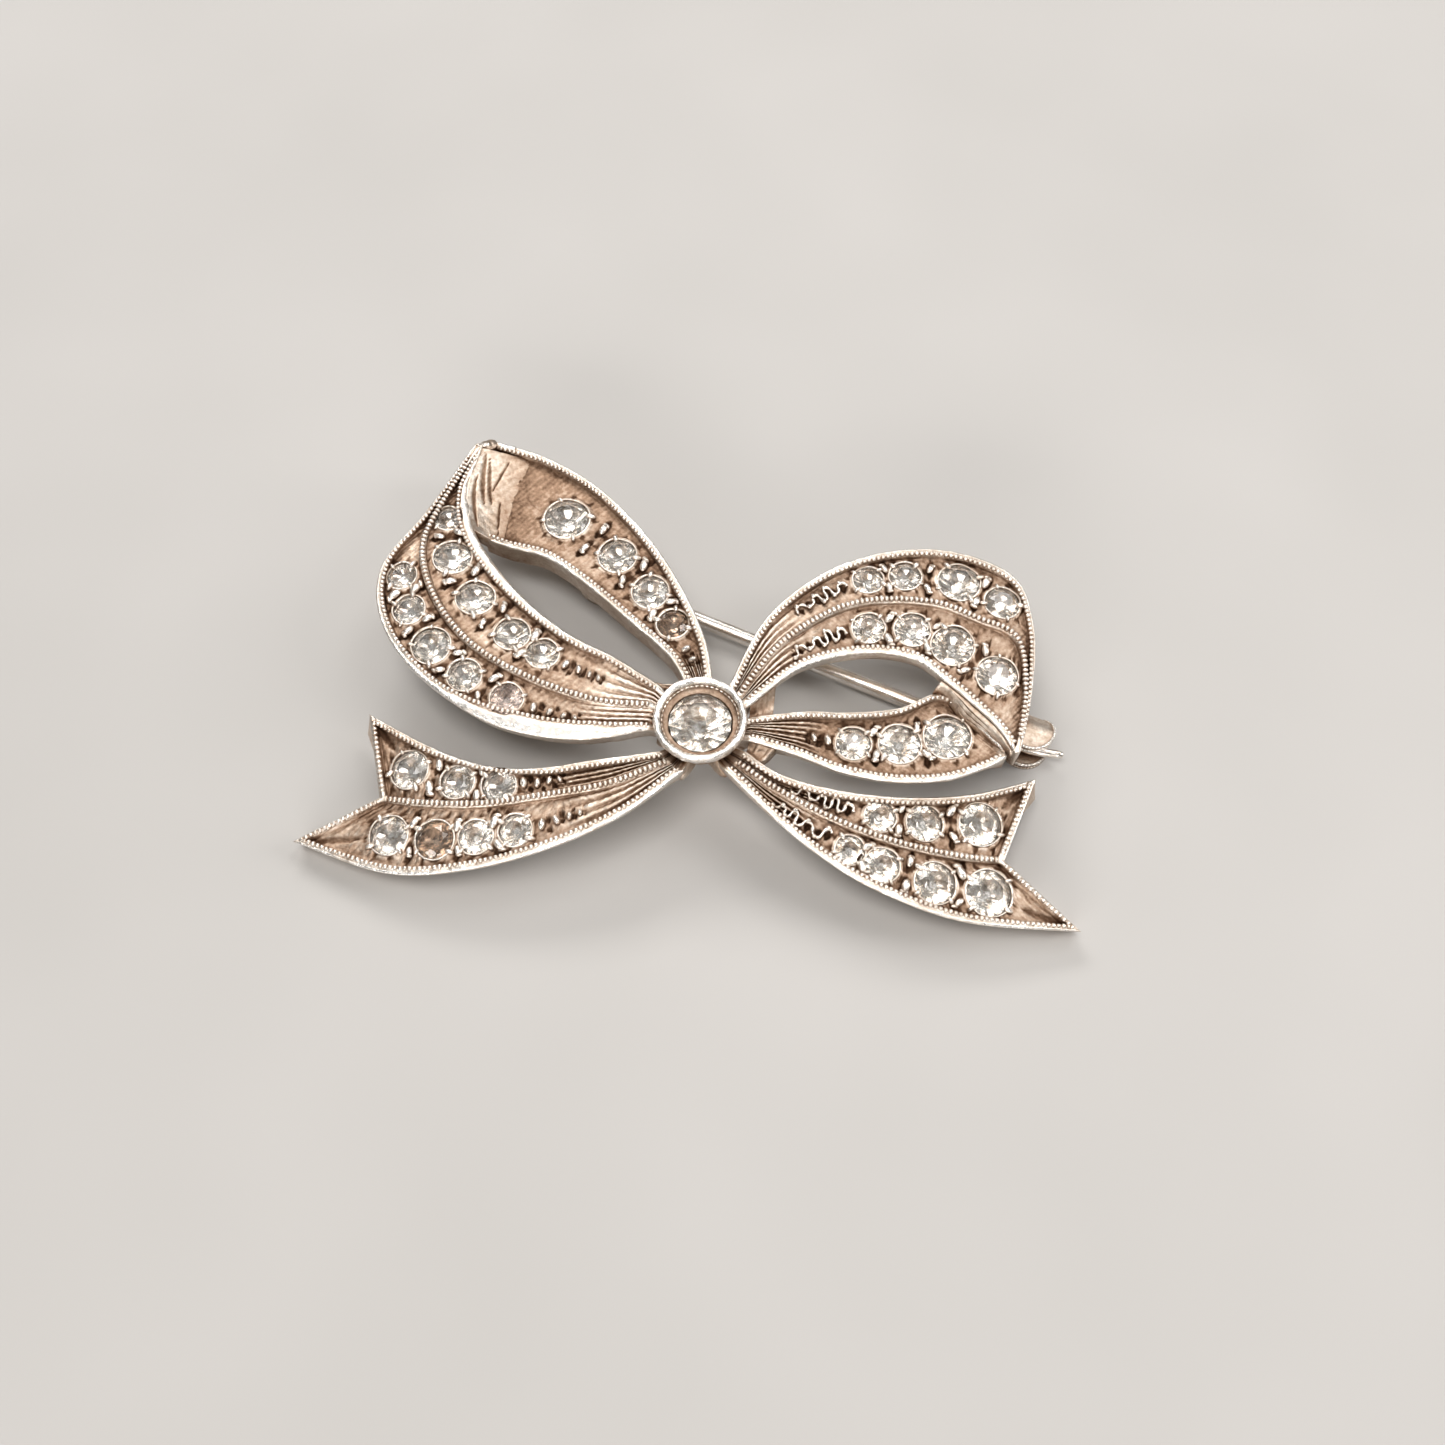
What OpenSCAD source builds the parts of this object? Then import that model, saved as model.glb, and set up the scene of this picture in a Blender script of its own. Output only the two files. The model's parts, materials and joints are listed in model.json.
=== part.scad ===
// Bow brooch: six channel bands round a collet, grain-set stones, hinged pin and C-catch.
// Every curve is laid out from the centre of the knot; place() puts the knot in the part's frame.

/* [Knot] */
// Outer diameter of the centre collet
collet_d = 5.5; // [5.2:0.1:5.6]
// Wall thickness of the centre collet
collet_wall = 0.4; // [0.3:0.05:0.5]
// Height of the collet's rim above the surface the brooch lies on
collet_top = 6.2; // [6:0.1:6.6]
// Diameter of the centre stone
centre_stone_d = 3.7; // [3.4:0.1:3.8]
// Diameter of the hub under the knot, which the bands are soldered to
knot_hub_d = 2.8; // [2.4:0.1:3]

/* [Bands] */
// Width of the raised rim along each edge
rim_w = 0.42; // [0.3:0.02:0.5]
// Width of the rib between two rows of stones
rib_w = 0.36; // [0.24:0.02:0.44]
// Depth of the channel below the rim
channel_d = 0.4; // [0.3:0.05:0.45]
// Number of steps along each band
band_steps = 22; // [16:1:28]

/* [Stones] */
// Free space round each stone in its seat
seat_gap = 0.03; // [0.02:0.01:0.05]
// Depth of a stone below its girdle, as a share of its diameter
pavilion_share = 0.32; // [0.28:0.01:0.34]
// Height of a stone above its girdle, as a share of its diameter
crown_share = 0.17; // [0.12:0.01:0.2]
// Diameter of the table facet, as a share of the stone's diameter
table_share = 0.55; // [0.5:0.01:0.62]

/* [Pin] */
// Diameter of the pin's wire
pin_d = 0.96; // [0.9:0.02:1]
// Length from the hinge axis to where the taper starts
shank_end = 26.4; // [26:0.1:26.6]
// Length from the hinge axis to the tip
pin_length = 31; // [30.6:0.1:31.2]
// Diameter of the pin at its tip
tip_d = 0.4; // [0.3:0.02:0.5]
// Height of the pin's axis above the surface the brooch lies on
pin_z = 0.9; // [0.88:0.01:0.94]
// Diameter of the rivet
rivet_d = 0.6; // [0.5:0.02:0.64]
// Running clearance round the rivet in the knuckle, on the radius
rivet_gap = 0.04; // [0.02:0.01:0.08]

/* [Catch] */
// Diameter of the round blank the catch is bent from
catch_d = 2.7; // [2.6:0.1:2.8]
// Thickness of the catch's strip
catch_t = 0.4; // [0.35:0.05:0.45]

/* [Hidden] */
$fn = 48;
eps = 0.01;

// Frame: where the knot's centre and the hinge axis stand
knot_at = [-0.1, -4.05, 0];
hinge_at = [-8.1, 11.3, 0];
pin_angle = -16.2;

// Heights at the knot
plate_top = 3;
plate_t = 0.6;
arm_root = 0.2;
centre_stone_below_rim = 0.75;

// Hinge: half the gap between the ears, the ears' thickness and round end, and the plate
ear_gap = 0.8;
ear_t = 0.45;
ear_r = 0.9;
hinge_plate_size = [2.4, 3.6, 0.36];
hinge_plate_z = 2.68;

// Knuckle: radius of the barrel, free space beside it and the square shank up to the wire
knuckle_r = 0.85;
knuckle_side_gap = 0.05;
shank_w = 0.8;
stem_start = 1.52;
stem_gap = 0.02;

// Catch: its centre along and across the pin from the hinge axis, its height, and the tab
// that joins it to the loop, which ends just short of the centre
catch_at = [28.6, 0.35, 0];
catch_high = 2.9;
catch_tab_size = [3, 1.6, 0.3];
catch_tab_end = -0.5;

// Free height of a stone's girdle over the channel's floor, and of its seat over the girdle
girdle_lift = 0.05;
seat_reach = 1.2;
seat_floor_gap = 0.08;

// Each band is a list of stations, and a station is [first edge, middle, second edge],
// counted from the knot outwards. A point is [x, y, height of the rim].
LEFT_FRONT = [
    [[-2.9, -0.7, 5.2], [-3.1, 0.9, 5.3], [-2.8, 2.3, 5.2]],
    [[-7.0, -1.9, 5.4], [-6.4, 0.6, 5.7], [-5.8, 3.7, 5.4]],
    [[-12.4, -1.5, 5.5], [-10.5, 1.5, 5.8], [-8.6, 4.7, 5.6]],
    [[-17.2, 1.0, 5.4], [-14.2, 3.2, 5.8], [-11.4, 6.5, 5.6]],
    [[-20.1, 4.3, 5.4], [-16.9, 5.8, 5.8], [-14.1, 9.0, 5.5]],
    [[-20.9, 8.0, 5.3], [-18.6, 9.2, 5.6], [-16.0, 11.6, 5.4]],
    [[-19.2, 12.1, 5.3], [-18.4, 12.4, 5.4], [-16.9, 14.4, 5.3]],
    [[-17.2, 17.8, 5.2], [-16.9, 17.8, 5.2], [-16.7, 17.7, 5.2]]];
LEFT_RETURN = [
    [[0.3, 3.0, 4.8], [-0.5, 3.0, 4.8], [-1.3, 2.7, 4.8]],
    [[-0.5, 5.7, 4.9], [-1.5, 5.0, 4.9], [-2.6, 4.5, 4.8]],
    [[-2.3, 8.9, 5.0], [-3.6, 7.9, 4.9], [-5.4, 6.6, 4.8]],
    [[-5.0, 12.4, 5.0], [-6.5, 10.8, 4.9], [-8.5, 8.8, 4.8]],
    [[-8.7, 15.7, 4.9], [-9.9, 13.1, 4.9], [-11.2, 10.3, 4.8]],
    [[-12.6, 17.7, 4.8], [-13.3, 14.2, 4.7], [-13.7, 10.8, 4.6]],
    [[-16.3, 18.5, 4.7], [-16.4, 14.6, 4.6], [-15.3, 11.3, 4.5]]];
RIGHT_FRONT = [
    [[1.3, 2.8, 5.2], [2.0, 2.4, 5.2], [2.7, 1.7, 5.2]],
    [[3.1, 7.9, 5.4], [4.2, 6.2, 5.5], [5.4, 4.5, 5.3]],
    [[7.1, 11.9, 5.6], [7.9, 9.1, 5.7], [8.7, 5.9, 5.4]],
    [[12.4, 13.7, 5.6], [12.4, 9.9, 5.7], [11.8, 6.0, 5.4]],
    [[17.2, 12.7, 5.5], [15.6, 9.1, 5.7], [13.8, 4.8, 5.4]],
    [[18.8, 9.5, 5.4], [17.9, 8.2, 5.5], [15.6, 3.5, 5.3]],
    [[19.0, 5.2, 5.3], [18.6, 4.8, 5.3], [17.1, 2.2, 5.3]],
    [[18.5, 0.9, 5.2], [18.3, 0.8, 5.2], [18.1, 0.9, 5.2]]];
RIGHT_RETURN = [
    [[2.7, 1.2, 4.6], [2.9, 0.5, 4.6], [2.9, -0.3, 4.6]],
    [[5.9, 2.1, 4.5], [5.8, 0.6, 4.5], [5.8, -0.8, 4.5]],
    [[8.5, 2.4, 4.5], [8.5, 0.5, 4.5], [8.4, -1.5, 4.5]],
    [[11.4, 3.1, 4.5], [11.4, 0.8, 4.5], [11.4, -1.7, 4.5]],
    [[13.7, 4.4, 4.5], [14.3, 1.7, 4.5], [14.4, -1.2, 4.5]],
    [[15.6, 3.0, 4.6], [16.2, 1.6, 4.6], [16.6, -0.2, 4.6]],
    [[17.7, 1.2, 4.6], [17.7, 1.0, 4.6], [17.8, 0.7, 4.6]]];
LEFT_TAIL = [
    [[-2.2, -1.8, 4.8], [-1.6, -2.3, 4.8], [-0.6, -2.9, 4.8]],
    [[-5.8, -2.7, 4.5], [-4.7, -4.0, 4.5], [-3.6, -5.9, 4.5]],
    [[-9.0, -3.5, 4.1], [-8.2, -5.0, 4.0], [-7.7, -8.3, 3.8]],
    [[-12.1, -3.6, 3.7], [-12.0, -5.9, 3.5], [-12.2, -9.9, 3.0]],
    [[-15.7, -2.7, 3.2], [-15.6, -6.1, 2.9], [-17.0, -10.4, 2.1]],
    [[-20.1, -0.8, 2.6], [-18.3, -5.9, 2.2], [-22.9, -9.0, 1.4]]];
RIGHT_TAIL = [
    [[2.8, -1.1, 4.8], [2.4, -1.8, 4.8], [1.7, -2.4, 4.8]],
    [[5.0, -2.1, 4.5], [4.8, -3.0, 4.5], [4.3, -4.4, 4.5]],
    [[8.4, -2.5, 4.2], [8.2, -4.2, 4.1], [7.1, -6.2, 4.0]],
    [[12.2, -2.2, 3.7], [11.9, -4.9, 3.5], [11.0, -7.9, 3.4]],
    [[16.2, -1.2, 3.1], [15.7, -5.0, 2.8], [16.4, -8.8, 2.4]],
    [[19.9, 0.5, 2.6], [18.4, -4.7, 2.2], [23.1, -8.1, 1.4]]];

// Thickness of each band at its knot end and at its outer end
FRONT_T = [2.2, 1.9];
RETURN_T = [1.8, 1.7];
TAIL_T = [1.8, 1.4];

// A row of stones is [name, band, lane, places, diameters], from the knot outwards.
// The lane is 0 or 1 for either side of a rib, and 0.5 for the middle of a plain band.
// A place runs from 0 at the knot to 1 at the band's outer end.
ROWS = [
    ["left_front_outer_stone_", LEFT_FRONT, 0,
        [0.286, 0.376, 0.47, 0.575, 0.67], [1.9, 2.0, 2.3, 1.9, 1.8]],
    ["left_front_inner_stone_", LEFT_FRONT, 1,
        [0.302, 0.391, 0.524, 0.657, 0.796], [1.9, 2.1, 2.3, 2.3, 1.7]],
    ["left_return_stone_", LEFT_RETURN, 0.5, [0.27, 0.384, 0.518, 0.694], [1.9, 2.2, 2.3, 2.8]],
    ["right_front_outer_stone_", RIGHT_FRONT, 0, [0.322, 0.384, 0.487, 0.598], [1.8, 1.9, 2.5, 2.1]],
    ["right_front_inner_stone_", RIGHT_FRONT, 1, [0.314, 0.41, 0.536, 0.728], [1.9, 2.1, 2.5, 2.4]],
    ["right_return_stone_", RIGHT_RETURN, 0.5, [0.36, 0.514, 0.67], [2.0, 2.4, 2.7]],
    ["left_tail_upper_stone_", LEFT_TAIL, 0, [0.554, 0.697, 0.864], [2.0, 2.0, 2.3]],
    ["left_tail_lower_stone_", LEFT_TAIL, 1, [0.488, 0.595, 0.711, 0.842], [1.9, 2.0, 2.3, 2.3]],
    ["right_tail_upper_stone_", RIGHT_TAIL, 0, [0.546, 0.68, 0.852], [1.8, 2.1, 2.5]],
    ["right_tail_lower_stone_", RIGHT_TAIL, 1, [0.502, 0.599, 0.737, 0.864], [1.7, 2.0, 2.4, 2.7]]];

METAL_NODES = ["left_loop_front_band", "left_loop_return_band", "right_loop_front_band",
    "right_loop_return_band", "left_tail", "right_tail", "knot_plate", "centre_collet",
    "hinge_plate", "hinge_ear_upper", "hinge_ear_lower", "hinge_rivet", "pin_knuckle",
    "pin_stem", "catch_plate", "catch_hook"];
STONE_NODES = [for (row = ROWS) for (i = [0 : len(row[4]) - 1]) str(row[0], i + 1)];

// ---- curves ----

// A smooth curve through control points, at place s from 0 to 1
function curve(points, s) =
    let (spans = len(points) - 1,
         at = min(max(s, 0), 1) * spans,
         i = min(floor(at), spans - 1),
         t = at - i,
         a = points[max(i - 1, 0)],
         b = points[i],
         c = points[i + 1],
         d = points[min(i + 2, spans)])
    b + 0.5 * t * (c - a + t * (2 * a - 5 * b + 4 * c - d + t * (3 * b - a - 3 * c + d)));

function side(band, which) = [for (station = band) station[which]];
function unit(v) = v / norm(v);
function flat_length(v) = norm([v[0], v[1]]);
function mix(pair, s) = pair[0] + (pair[1] - pair[0]) * s;

// The middle line of a lane of stones
function lane_point(band, lane, s) =
    lane == 0.5 ? curve(side(band, 1), s)
    : lane == 0 ? (curve(side(band, 0), s) + curve(side(band, 1), s)) / 2
    : (curve(side(band, 1), s) + curve(side(band, 2), s)) / 2;

// The direction square to the lane's floor
function lane_normal(band, lane, s) =
    let (first = lane == 1 ? 1 : 0,
         second = lane == 0 ? 1 : 2,
         along = lane_point(band, lane, s + 0.02) - lane_point(band, lane, s - 0.02),
         across = curve(side(band, second), s) - curve(side(band, first), s),
         up = unit(cross(along, across)))
    up[2] < 0 ? -up : up;

// ---- bands ----

// Across-section of half a band: [share of the half's width, depth below the rim]
function half_section(width, inner_w, inner_depth, depth) =
    let (rim = min(rim_w / width, 0.28),
         slope = min(0.12 / width, 0.08),
         inner = min(inner_w / width, 0.24))
    [[0, 0], [rim, 0], [rim + slope, depth], [1 - inner - slope, depth], [1 - inner, inner_depth]];

function section(band, s, ribbed) =
    let (a = curve(side(band, 0), s),
         m = curve(side(band, 1), s),
         b = curve(side(band, 2), s),
         depth = channel_d * min(1, (1 - s) * 30),
         inner_w = ribbed ? rib_w / 2 : 0.05,
         inner_depth = ribbed ? min(0.08, depth) : depth,
         near = half_section(max(flat_length(m - a), eps), inner_w, inner_depth, depth),
         far = half_section(max(flat_length(b - m), eps), inner_w, inner_depth, depth))
    concat([for (p = near) a + (m - a) * p[0] - [0, 0, p[1]]],
           [for (i = [4 : -1 : 0]) b + (m - b) * far[i][0] - [0, 0, far[i][1]]]);

module band_solid(band, thickness, ribbed) {
    places = concat([for (i = [0 : band_steps - 1]) i / band_steps], [1 - 0.3 / band_steps, 1]);
    tops = [for (s = places) section(band, s, ribbed)];
    rows = len(places);
    cols = len(tops[0]);
    // the underside follows the two edges straight across
    unders = [for (i = [0 : rows - 1])
        let (t = mix(thickness, places[i]),
             first = tops[i][0],
             last = tops[i][cols - 1])
        [for (j = [0 : cols - 1])
            let (share = flat_length(tops[i][j] - first)
                         / max(flat_length(tops[i][j] - first) + flat_length(last - tops[i][j]), eps))
            [tops[i][j][0], tops[i][j][1], first[2] + (last[2] - first[2]) * share - t]]];
    points = concat([for (row = tops) each row], [for (row = unders) each row]);
    half = rows * cols;
    quads = concat(
        [for (i = [0 : rows - 2]) for (j = [0 : cols - 2])
            [i * cols + j, i * cols + j + 1, (i + 1) * cols + j + 1, (i + 1) * cols + j]],
        [for (i = [0 : rows - 2]) for (j = [0 : cols - 2])
            [half + (i + 1) * cols + j, half + (i + 1) * cols + j + 1,
             half + i * cols + j + 1, half + i * cols + j]],
        [for (i = [0 : rows - 2])
            [i * cols, (i + 1) * cols, half + (i + 1) * cols, half + i * cols]],
        [for (i = [0 : rows - 2])
            [(i + 1) * cols + cols - 1, i * cols + cols - 1,
             half + i * cols + cols - 1, half + (i + 1) * cols + cols - 1]],
        [for (j = [0 : cols - 2]) [j + 1, j, half + j, half + j + 1]],
        [for (j = [0 : cols - 2])
            [half - cols + j, half - cols + j + 1, 2 * half - cols + j + 1, 2 * half - cols + j]]);
    clockwise = cross(tops[1][0] - tops[0][0], tops[0][cols - 1] - tops[0][0])[2] < 0;
    faces = [for (q = quads) each
        clockwise ? [[q[0], q[1], q[2]], [q[0], q[2], q[3]]] : [[q[2], q[1], q[0]], [q[3], q[2], q[0]]]];
    polyhedron(points, faces);
}

// Turns a child's Z axis to the direction given
module facing(direction) {
    tilt = acos(direction[2]);
    turn = cross([0, 0, 1], direction);
    rotate(tilt > 0.01 ? tilt : 0, tilt > 0.01 ? turn : [0, 0, 1]) children();
}

module at_stone(row, i) {
    s = row[3][i];
    up = lane_normal(row[1], row[2], s);
    translate(lane_point(row[1], row[2], s) - up * (channel_d - girdle_lift))
        facing(up) children();
}

module seats(band) {
    for (row = ROWS)
        if (row[1] == band)
            for (i = [0 : len(row[4]) - 1])
                at_stone(row, i) {
                    d = row[4][i];
                    depth = d * pavilion_share + seat_floor_gap;
                    translate([0, 0, -depth]) cylinder(d = d + 2 * seat_gap, h = depth + seat_reach);
                }
}

module place() {
    translate(knot_at) children();
}

module band(curve_set, thickness, ribbed) {
    color("silver") place() difference() {
        band_solid(curve_set, thickness, ribbed);
        seats(curve_set);
    }
}

// ---- stones ----

module brilliant(d) {
    girdle = 16;
    high = d * crown_share;
    low = d * pavilion_share;
    belt = d * 0.02;
    points = concat(
        [for (i = [0 : 7]) [d * table_share / 2 * cos(i * 45), d * table_share / 2 * sin(i * 45), high]],
        [for (i = [0 : 15]) [d / 2 * cos(i * 22.5), d / 2 * sin(i * 22.5), belt]],
        [for (i = [0 : 15]) [d / 2 * cos(i * 22.5), d / 2 * sin(i * 22.5), -belt]],
        [[0, 0, -low]]);
    top = 8;
    bottom = top + girdle;
    culet = bottom + girdle;
    faces = concat(
        [[7, 6, 5, 4, 3, 2, 1, 0]],
        [for (i = [0 : 7]) let (g = top + 2 * i, h = top + (2 * i + 15) % girdle) [i, g, h]],
        [for (i = [0 : 7]) let (g = top + 2 * i) [i, g + 1, g]],
        [for (i = [0 : 7]) let (g = top + 2 * i) [i, (i + 1) % 8, g + 1]],
        [for (i = [0 : 15]) let (k = (i + 1) % girdle) [top + i, top + k, bottom + k]],
        [for (i = [0 : 15]) let (k = (i + 1) % girdle) [top + i, bottom + k, bottom + i]],
        [for (i = [0 : 15]) [bottom + i, bottom + (i + 1) % girdle, culet]]);
    polyhedron(points, faces);
}

module row_stone(row, i) {
    color("ghostwhite") place() at_stone(row, i) brilliant(row[4][i]);
}

module centre_stone() {
    color("ghostwhite") place() translate([0, 0, collet_top - centre_stone_below_rim])
        brilliant(centre_stone_d);
}

// ---- knot ----

// A hub with one arm out to the first station of each band
module knot_plate() {
    color("silver") place() translate([0, 0, plate_top - plate_t]) {
        cylinder(d = knot_hub_d, h = plate_t);
        for (band = [LEFT_FRONT, LEFT_RETURN, RIGHT_FRONT, RIGHT_RETURN, LEFT_TAIL, RIGHT_TAIL]) {
            first = [band[0][0][0], band[0][0][1]];
            last = [band[0][2][0], band[0][2][1]];
            linear_extrude(plate_t) polygon([first, last, last * arm_root, first * arm_root]);
        }
    }
}

module centre_collet() {
    r = collet_d / 2;
    seat_r = centre_stone_d / 2;
    color("silver") place() rotate_extrude($fn = 64)
        polygon([[0, plate_top], [knot_hub_d / 2, plate_top], [r - 0.75, collet_top - 1.8],
            [r - 0.25, collet_top - 1], [r, collet_top - 0.5], [r, collet_top - 0.1],
            [r - 0.12, collet_top], [r - collet_wall, collet_top],
            [r - collet_wall - 0.1, collet_top - 0.45],
            [seat_r + seat_gap, collet_top - 0.6], [seat_r + seat_gap, collet_top - 0.85],
            [0.4, collet_top - 2.15], [0, collet_top - 2.15]]);
}

// ---- hinge and pin ----

module at_hinge() {
    place() translate(hinge_at) rotate([0, 0, pin_angle]) children();
}

module hinge_plate() {
    color("silver") at_hinge() translate([0, 0, hinge_plate_z + hinge_plate_size[2] / 2])
        cube(hinge_plate_size, center = true);
}

// One ear of the hinge: a round end about the rivet and a neck up to the plate
module hinge_ear(y) {
    color("silver") at_hinge() difference() {
        union() {
            translate([0, y, pin_z]) rotate([-90, 0, 0]) cylinder(r = ear_r, h = ear_t);
            translate([-ear_r, y, pin_z]) cube([2 * ear_r, ear_t, hinge_plate_z - pin_z]);
        }
        translate([0, y - 1, pin_z]) rotate([-90, 0, 0]) cylinder(d = rivet_d, h = ear_t + 2);
    }
}

module hinge_ear_upper() {
    hinge_ear(ear_gap);
}

module hinge_ear_lower() {
    hinge_ear(-ear_gap - ear_t);
}

module hinge_rivet() {
    half = ear_gap + ear_t;
    color("silver") at_hinge() translate([0, 0, pin_z]) rotate([-90, 0, 0]) rotate_extrude()
        polygon([[0, -half - 0.24], [0.3, -half - 0.2], [0.5, -half], [rivet_d / 2, -half],
            [rivet_d / 2, half], [0.5, half], [0.3, half + 0.2], [0, half + 0.24]]);
}

module pin_knuckle() {
    width = 2 * (ear_gap - knuckle_side_gap);
    color("silver") at_hinge() translate([0, 0, pin_z]) difference() {
        union() {
            rotate([-90, 0, 0]) cylinder(r = knuckle_r, h = width, center = true);
            translate([0, -shank_w / 2, -shank_w / 2]) cube([stem_start - stem_gap, shank_w, shank_w]);
        }
        rotate([-90, 0, 0]) cylinder(d = rivet_d + 2 * rivet_gap, h = width + 1, center = true);
    }
}

module pin_stem() {
    tip_r = tip_d / 2;
    color("lightgray") at_hinge() translate([0, 0, pin_z]) rotate([0, 90, 0]) rotate_extrude()
        polygon([[0, stem_start], [pin_d / 2, stem_start], [pin_d / 2, shank_end],
            [tip_r, pin_length - 0.15], [tip_r * 0.7, pin_length - 0.04], [0, pin_length]]);
}

// ---- catch ----

module at_catch() {
    at_hinge() translate(catch_at) children();
}

module catch_plate() {
    start = catch_tab_end - catch_tab_size[0];
    color("silver") at_catch()
        translate([start, -catch_tab_size[1] / 2, catch_high]) cube(catch_tab_size);
}

// A strip bent round the pin, its mouth facing the lower edge of the brooch
module catch_hook() {
    bend_r = catch_high / 2;
    bend_y = catch_d / 2 - bend_r - 0.02;
    color("silver") at_catch() intersection() {
        union() {
            translate([-2, bend_y, bend_r]) rotate([0, 90, 0]) rotate_extrude(angle = 180)
                translate([bend_r - catch_t, 0]) square([catch_t, 4]);
            translate([-2, bend_y - 3, 0]) cube([4, 3, catch_t]);
            translate([-2, bend_y - 3, catch_high - catch_t]) cube([4, 3, catch_t]);
        }
        cylinder(d = catch_d, h = catch_high + 1);
    }
}

module left_loop_front_band() {
    band(LEFT_FRONT, FRONT_T, true);
}

module left_loop_return_band() {
    band(LEFT_RETURN, RETURN_T, false);
}

module right_loop_front_band() {
    band(RIGHT_FRONT, FRONT_T, true);
}

module right_loop_return_band() {
    band(RIGHT_RETURN, RETURN_T, false);
}

module left_tail() {
    band(LEFT_TAIL, TAIL_T, true);
}

module right_tail() {
    band(RIGHT_TAIL, TAIL_T, true);
}

left_loop_front_band();
left_loop_return_band();
right_loop_front_band();
right_loop_return_band();
left_tail();
right_tail();
knot_plate();
centre_collet();
hinge_plate();
hinge_ear_upper();
hinge_ear_lower();
hinge_rivet();
pin_knuckle();
pin_stem();
catch_plate();
catch_hook();
centre_stone();
for (row = ROWS) for (i = [0 : len(row[4]) - 1])
    row_stone(row, i);
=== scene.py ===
import json
import math

import bmesh
import bpy
import numpy as np
from mathutils import Matrix, Vector


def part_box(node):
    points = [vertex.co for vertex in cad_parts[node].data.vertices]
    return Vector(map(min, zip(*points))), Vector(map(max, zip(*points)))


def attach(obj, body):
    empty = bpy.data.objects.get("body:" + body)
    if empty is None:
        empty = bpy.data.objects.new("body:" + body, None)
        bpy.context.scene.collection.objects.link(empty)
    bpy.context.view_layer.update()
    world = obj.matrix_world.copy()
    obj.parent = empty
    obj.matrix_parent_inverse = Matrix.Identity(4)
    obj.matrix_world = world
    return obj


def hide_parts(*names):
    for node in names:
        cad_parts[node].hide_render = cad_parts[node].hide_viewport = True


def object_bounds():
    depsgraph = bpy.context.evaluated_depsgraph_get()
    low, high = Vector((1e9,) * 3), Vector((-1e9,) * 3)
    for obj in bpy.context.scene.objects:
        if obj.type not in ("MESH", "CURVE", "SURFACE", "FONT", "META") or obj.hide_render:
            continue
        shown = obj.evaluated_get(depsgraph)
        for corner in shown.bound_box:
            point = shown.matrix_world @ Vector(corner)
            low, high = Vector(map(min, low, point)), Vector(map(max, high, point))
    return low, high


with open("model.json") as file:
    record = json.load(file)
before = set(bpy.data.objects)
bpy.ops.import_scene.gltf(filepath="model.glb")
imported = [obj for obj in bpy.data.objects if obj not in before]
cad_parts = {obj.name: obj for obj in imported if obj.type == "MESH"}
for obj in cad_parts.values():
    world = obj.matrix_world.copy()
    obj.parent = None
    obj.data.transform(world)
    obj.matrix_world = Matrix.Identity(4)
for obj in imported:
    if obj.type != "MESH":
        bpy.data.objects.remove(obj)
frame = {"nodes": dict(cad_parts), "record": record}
CAD_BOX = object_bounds()

# ---- frame ----
# Shapes are worked out in millimetres from the centre of the knot, and Builder.piece()
# moves them into the frame in metres.

MM = 0.001
collet_low, collet_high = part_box("centre_collet")
KNOT = np.array([(collet_low.x + collet_high.x) / 2, (collet_low.y + collet_high.y) / 2, 0.0])
COLLET_TOP = collet_high.z / MM
COLLET_R = (collet_high.x - collet_low.x) / 2 / MM
FLOOR_Z = CAD_BOX[0].z
PIN_ANGLE = math.radians(-16.2)      # from +X, seen from the front
rivet_low, rivet_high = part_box("hinge_rivet")
HINGE = np.array([(rivet_low.x + rivet_high.x) / 2, (rivet_low.y + rivet_high.y) / 2, 0.0])
PIN_Z = (rivet_low.z + rivet_high.z) / 2 / MM

# The bands' stations, as in the CAD: [first edge, middle, second edge], from the knot outwards.
LEFT_FRONT = [
    [[-2.9, -0.7, 5.2], [-3.1, 0.9, 5.3], [-2.8, 2.3, 5.2]],
    [[-7.0, -1.9, 5.4], [-6.4, 0.6, 5.7], [-5.8, 3.7, 5.4]],
    [[-12.4, -1.5, 5.5], [-10.5, 1.5, 5.8], [-8.6, 4.7, 5.6]],
    [[-17.2, 1.0, 5.4], [-14.2, 3.2, 5.8], [-11.4, 6.5, 5.6]],
    [[-20.1, 4.3, 5.4], [-16.9, 5.8, 5.8], [-14.1, 9.0, 5.5]],
    [[-20.9, 8.0, 5.3], [-18.6, 9.2, 5.6], [-16.0, 11.6, 5.4]],
    [[-19.2, 12.1, 5.3], [-18.4, 12.4, 5.4], [-16.9, 14.4, 5.3]],
    [[-17.2, 17.8, 5.2], [-16.9, 17.8, 5.2], [-16.7, 17.7, 5.2]]]
LEFT_RETURN = [
    [[0.3, 3.0, 4.8], [-0.5, 3.0, 4.8], [-1.3, 2.7, 4.8]],
    [[-0.5, 5.7, 4.9], [-1.5, 5.0, 4.9], [-2.6, 4.5, 4.8]],
    [[-2.3, 8.9, 5.0], [-3.6, 7.9, 4.9], [-5.4, 6.6, 4.8]],
    [[-5.0, 12.4, 5.0], [-6.5, 10.8, 4.9], [-8.5, 8.8, 4.8]],
    [[-8.7, 15.7, 4.9], [-9.9, 13.1, 4.9], [-11.2, 10.3, 4.8]],
    [[-12.6, 17.7, 4.8], [-13.3, 14.2, 4.7], [-13.7, 10.8, 4.6]],
    [[-16.3, 18.5, 4.7], [-16.4, 14.6, 4.6], [-15.3, 11.3, 4.5]]]
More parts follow.
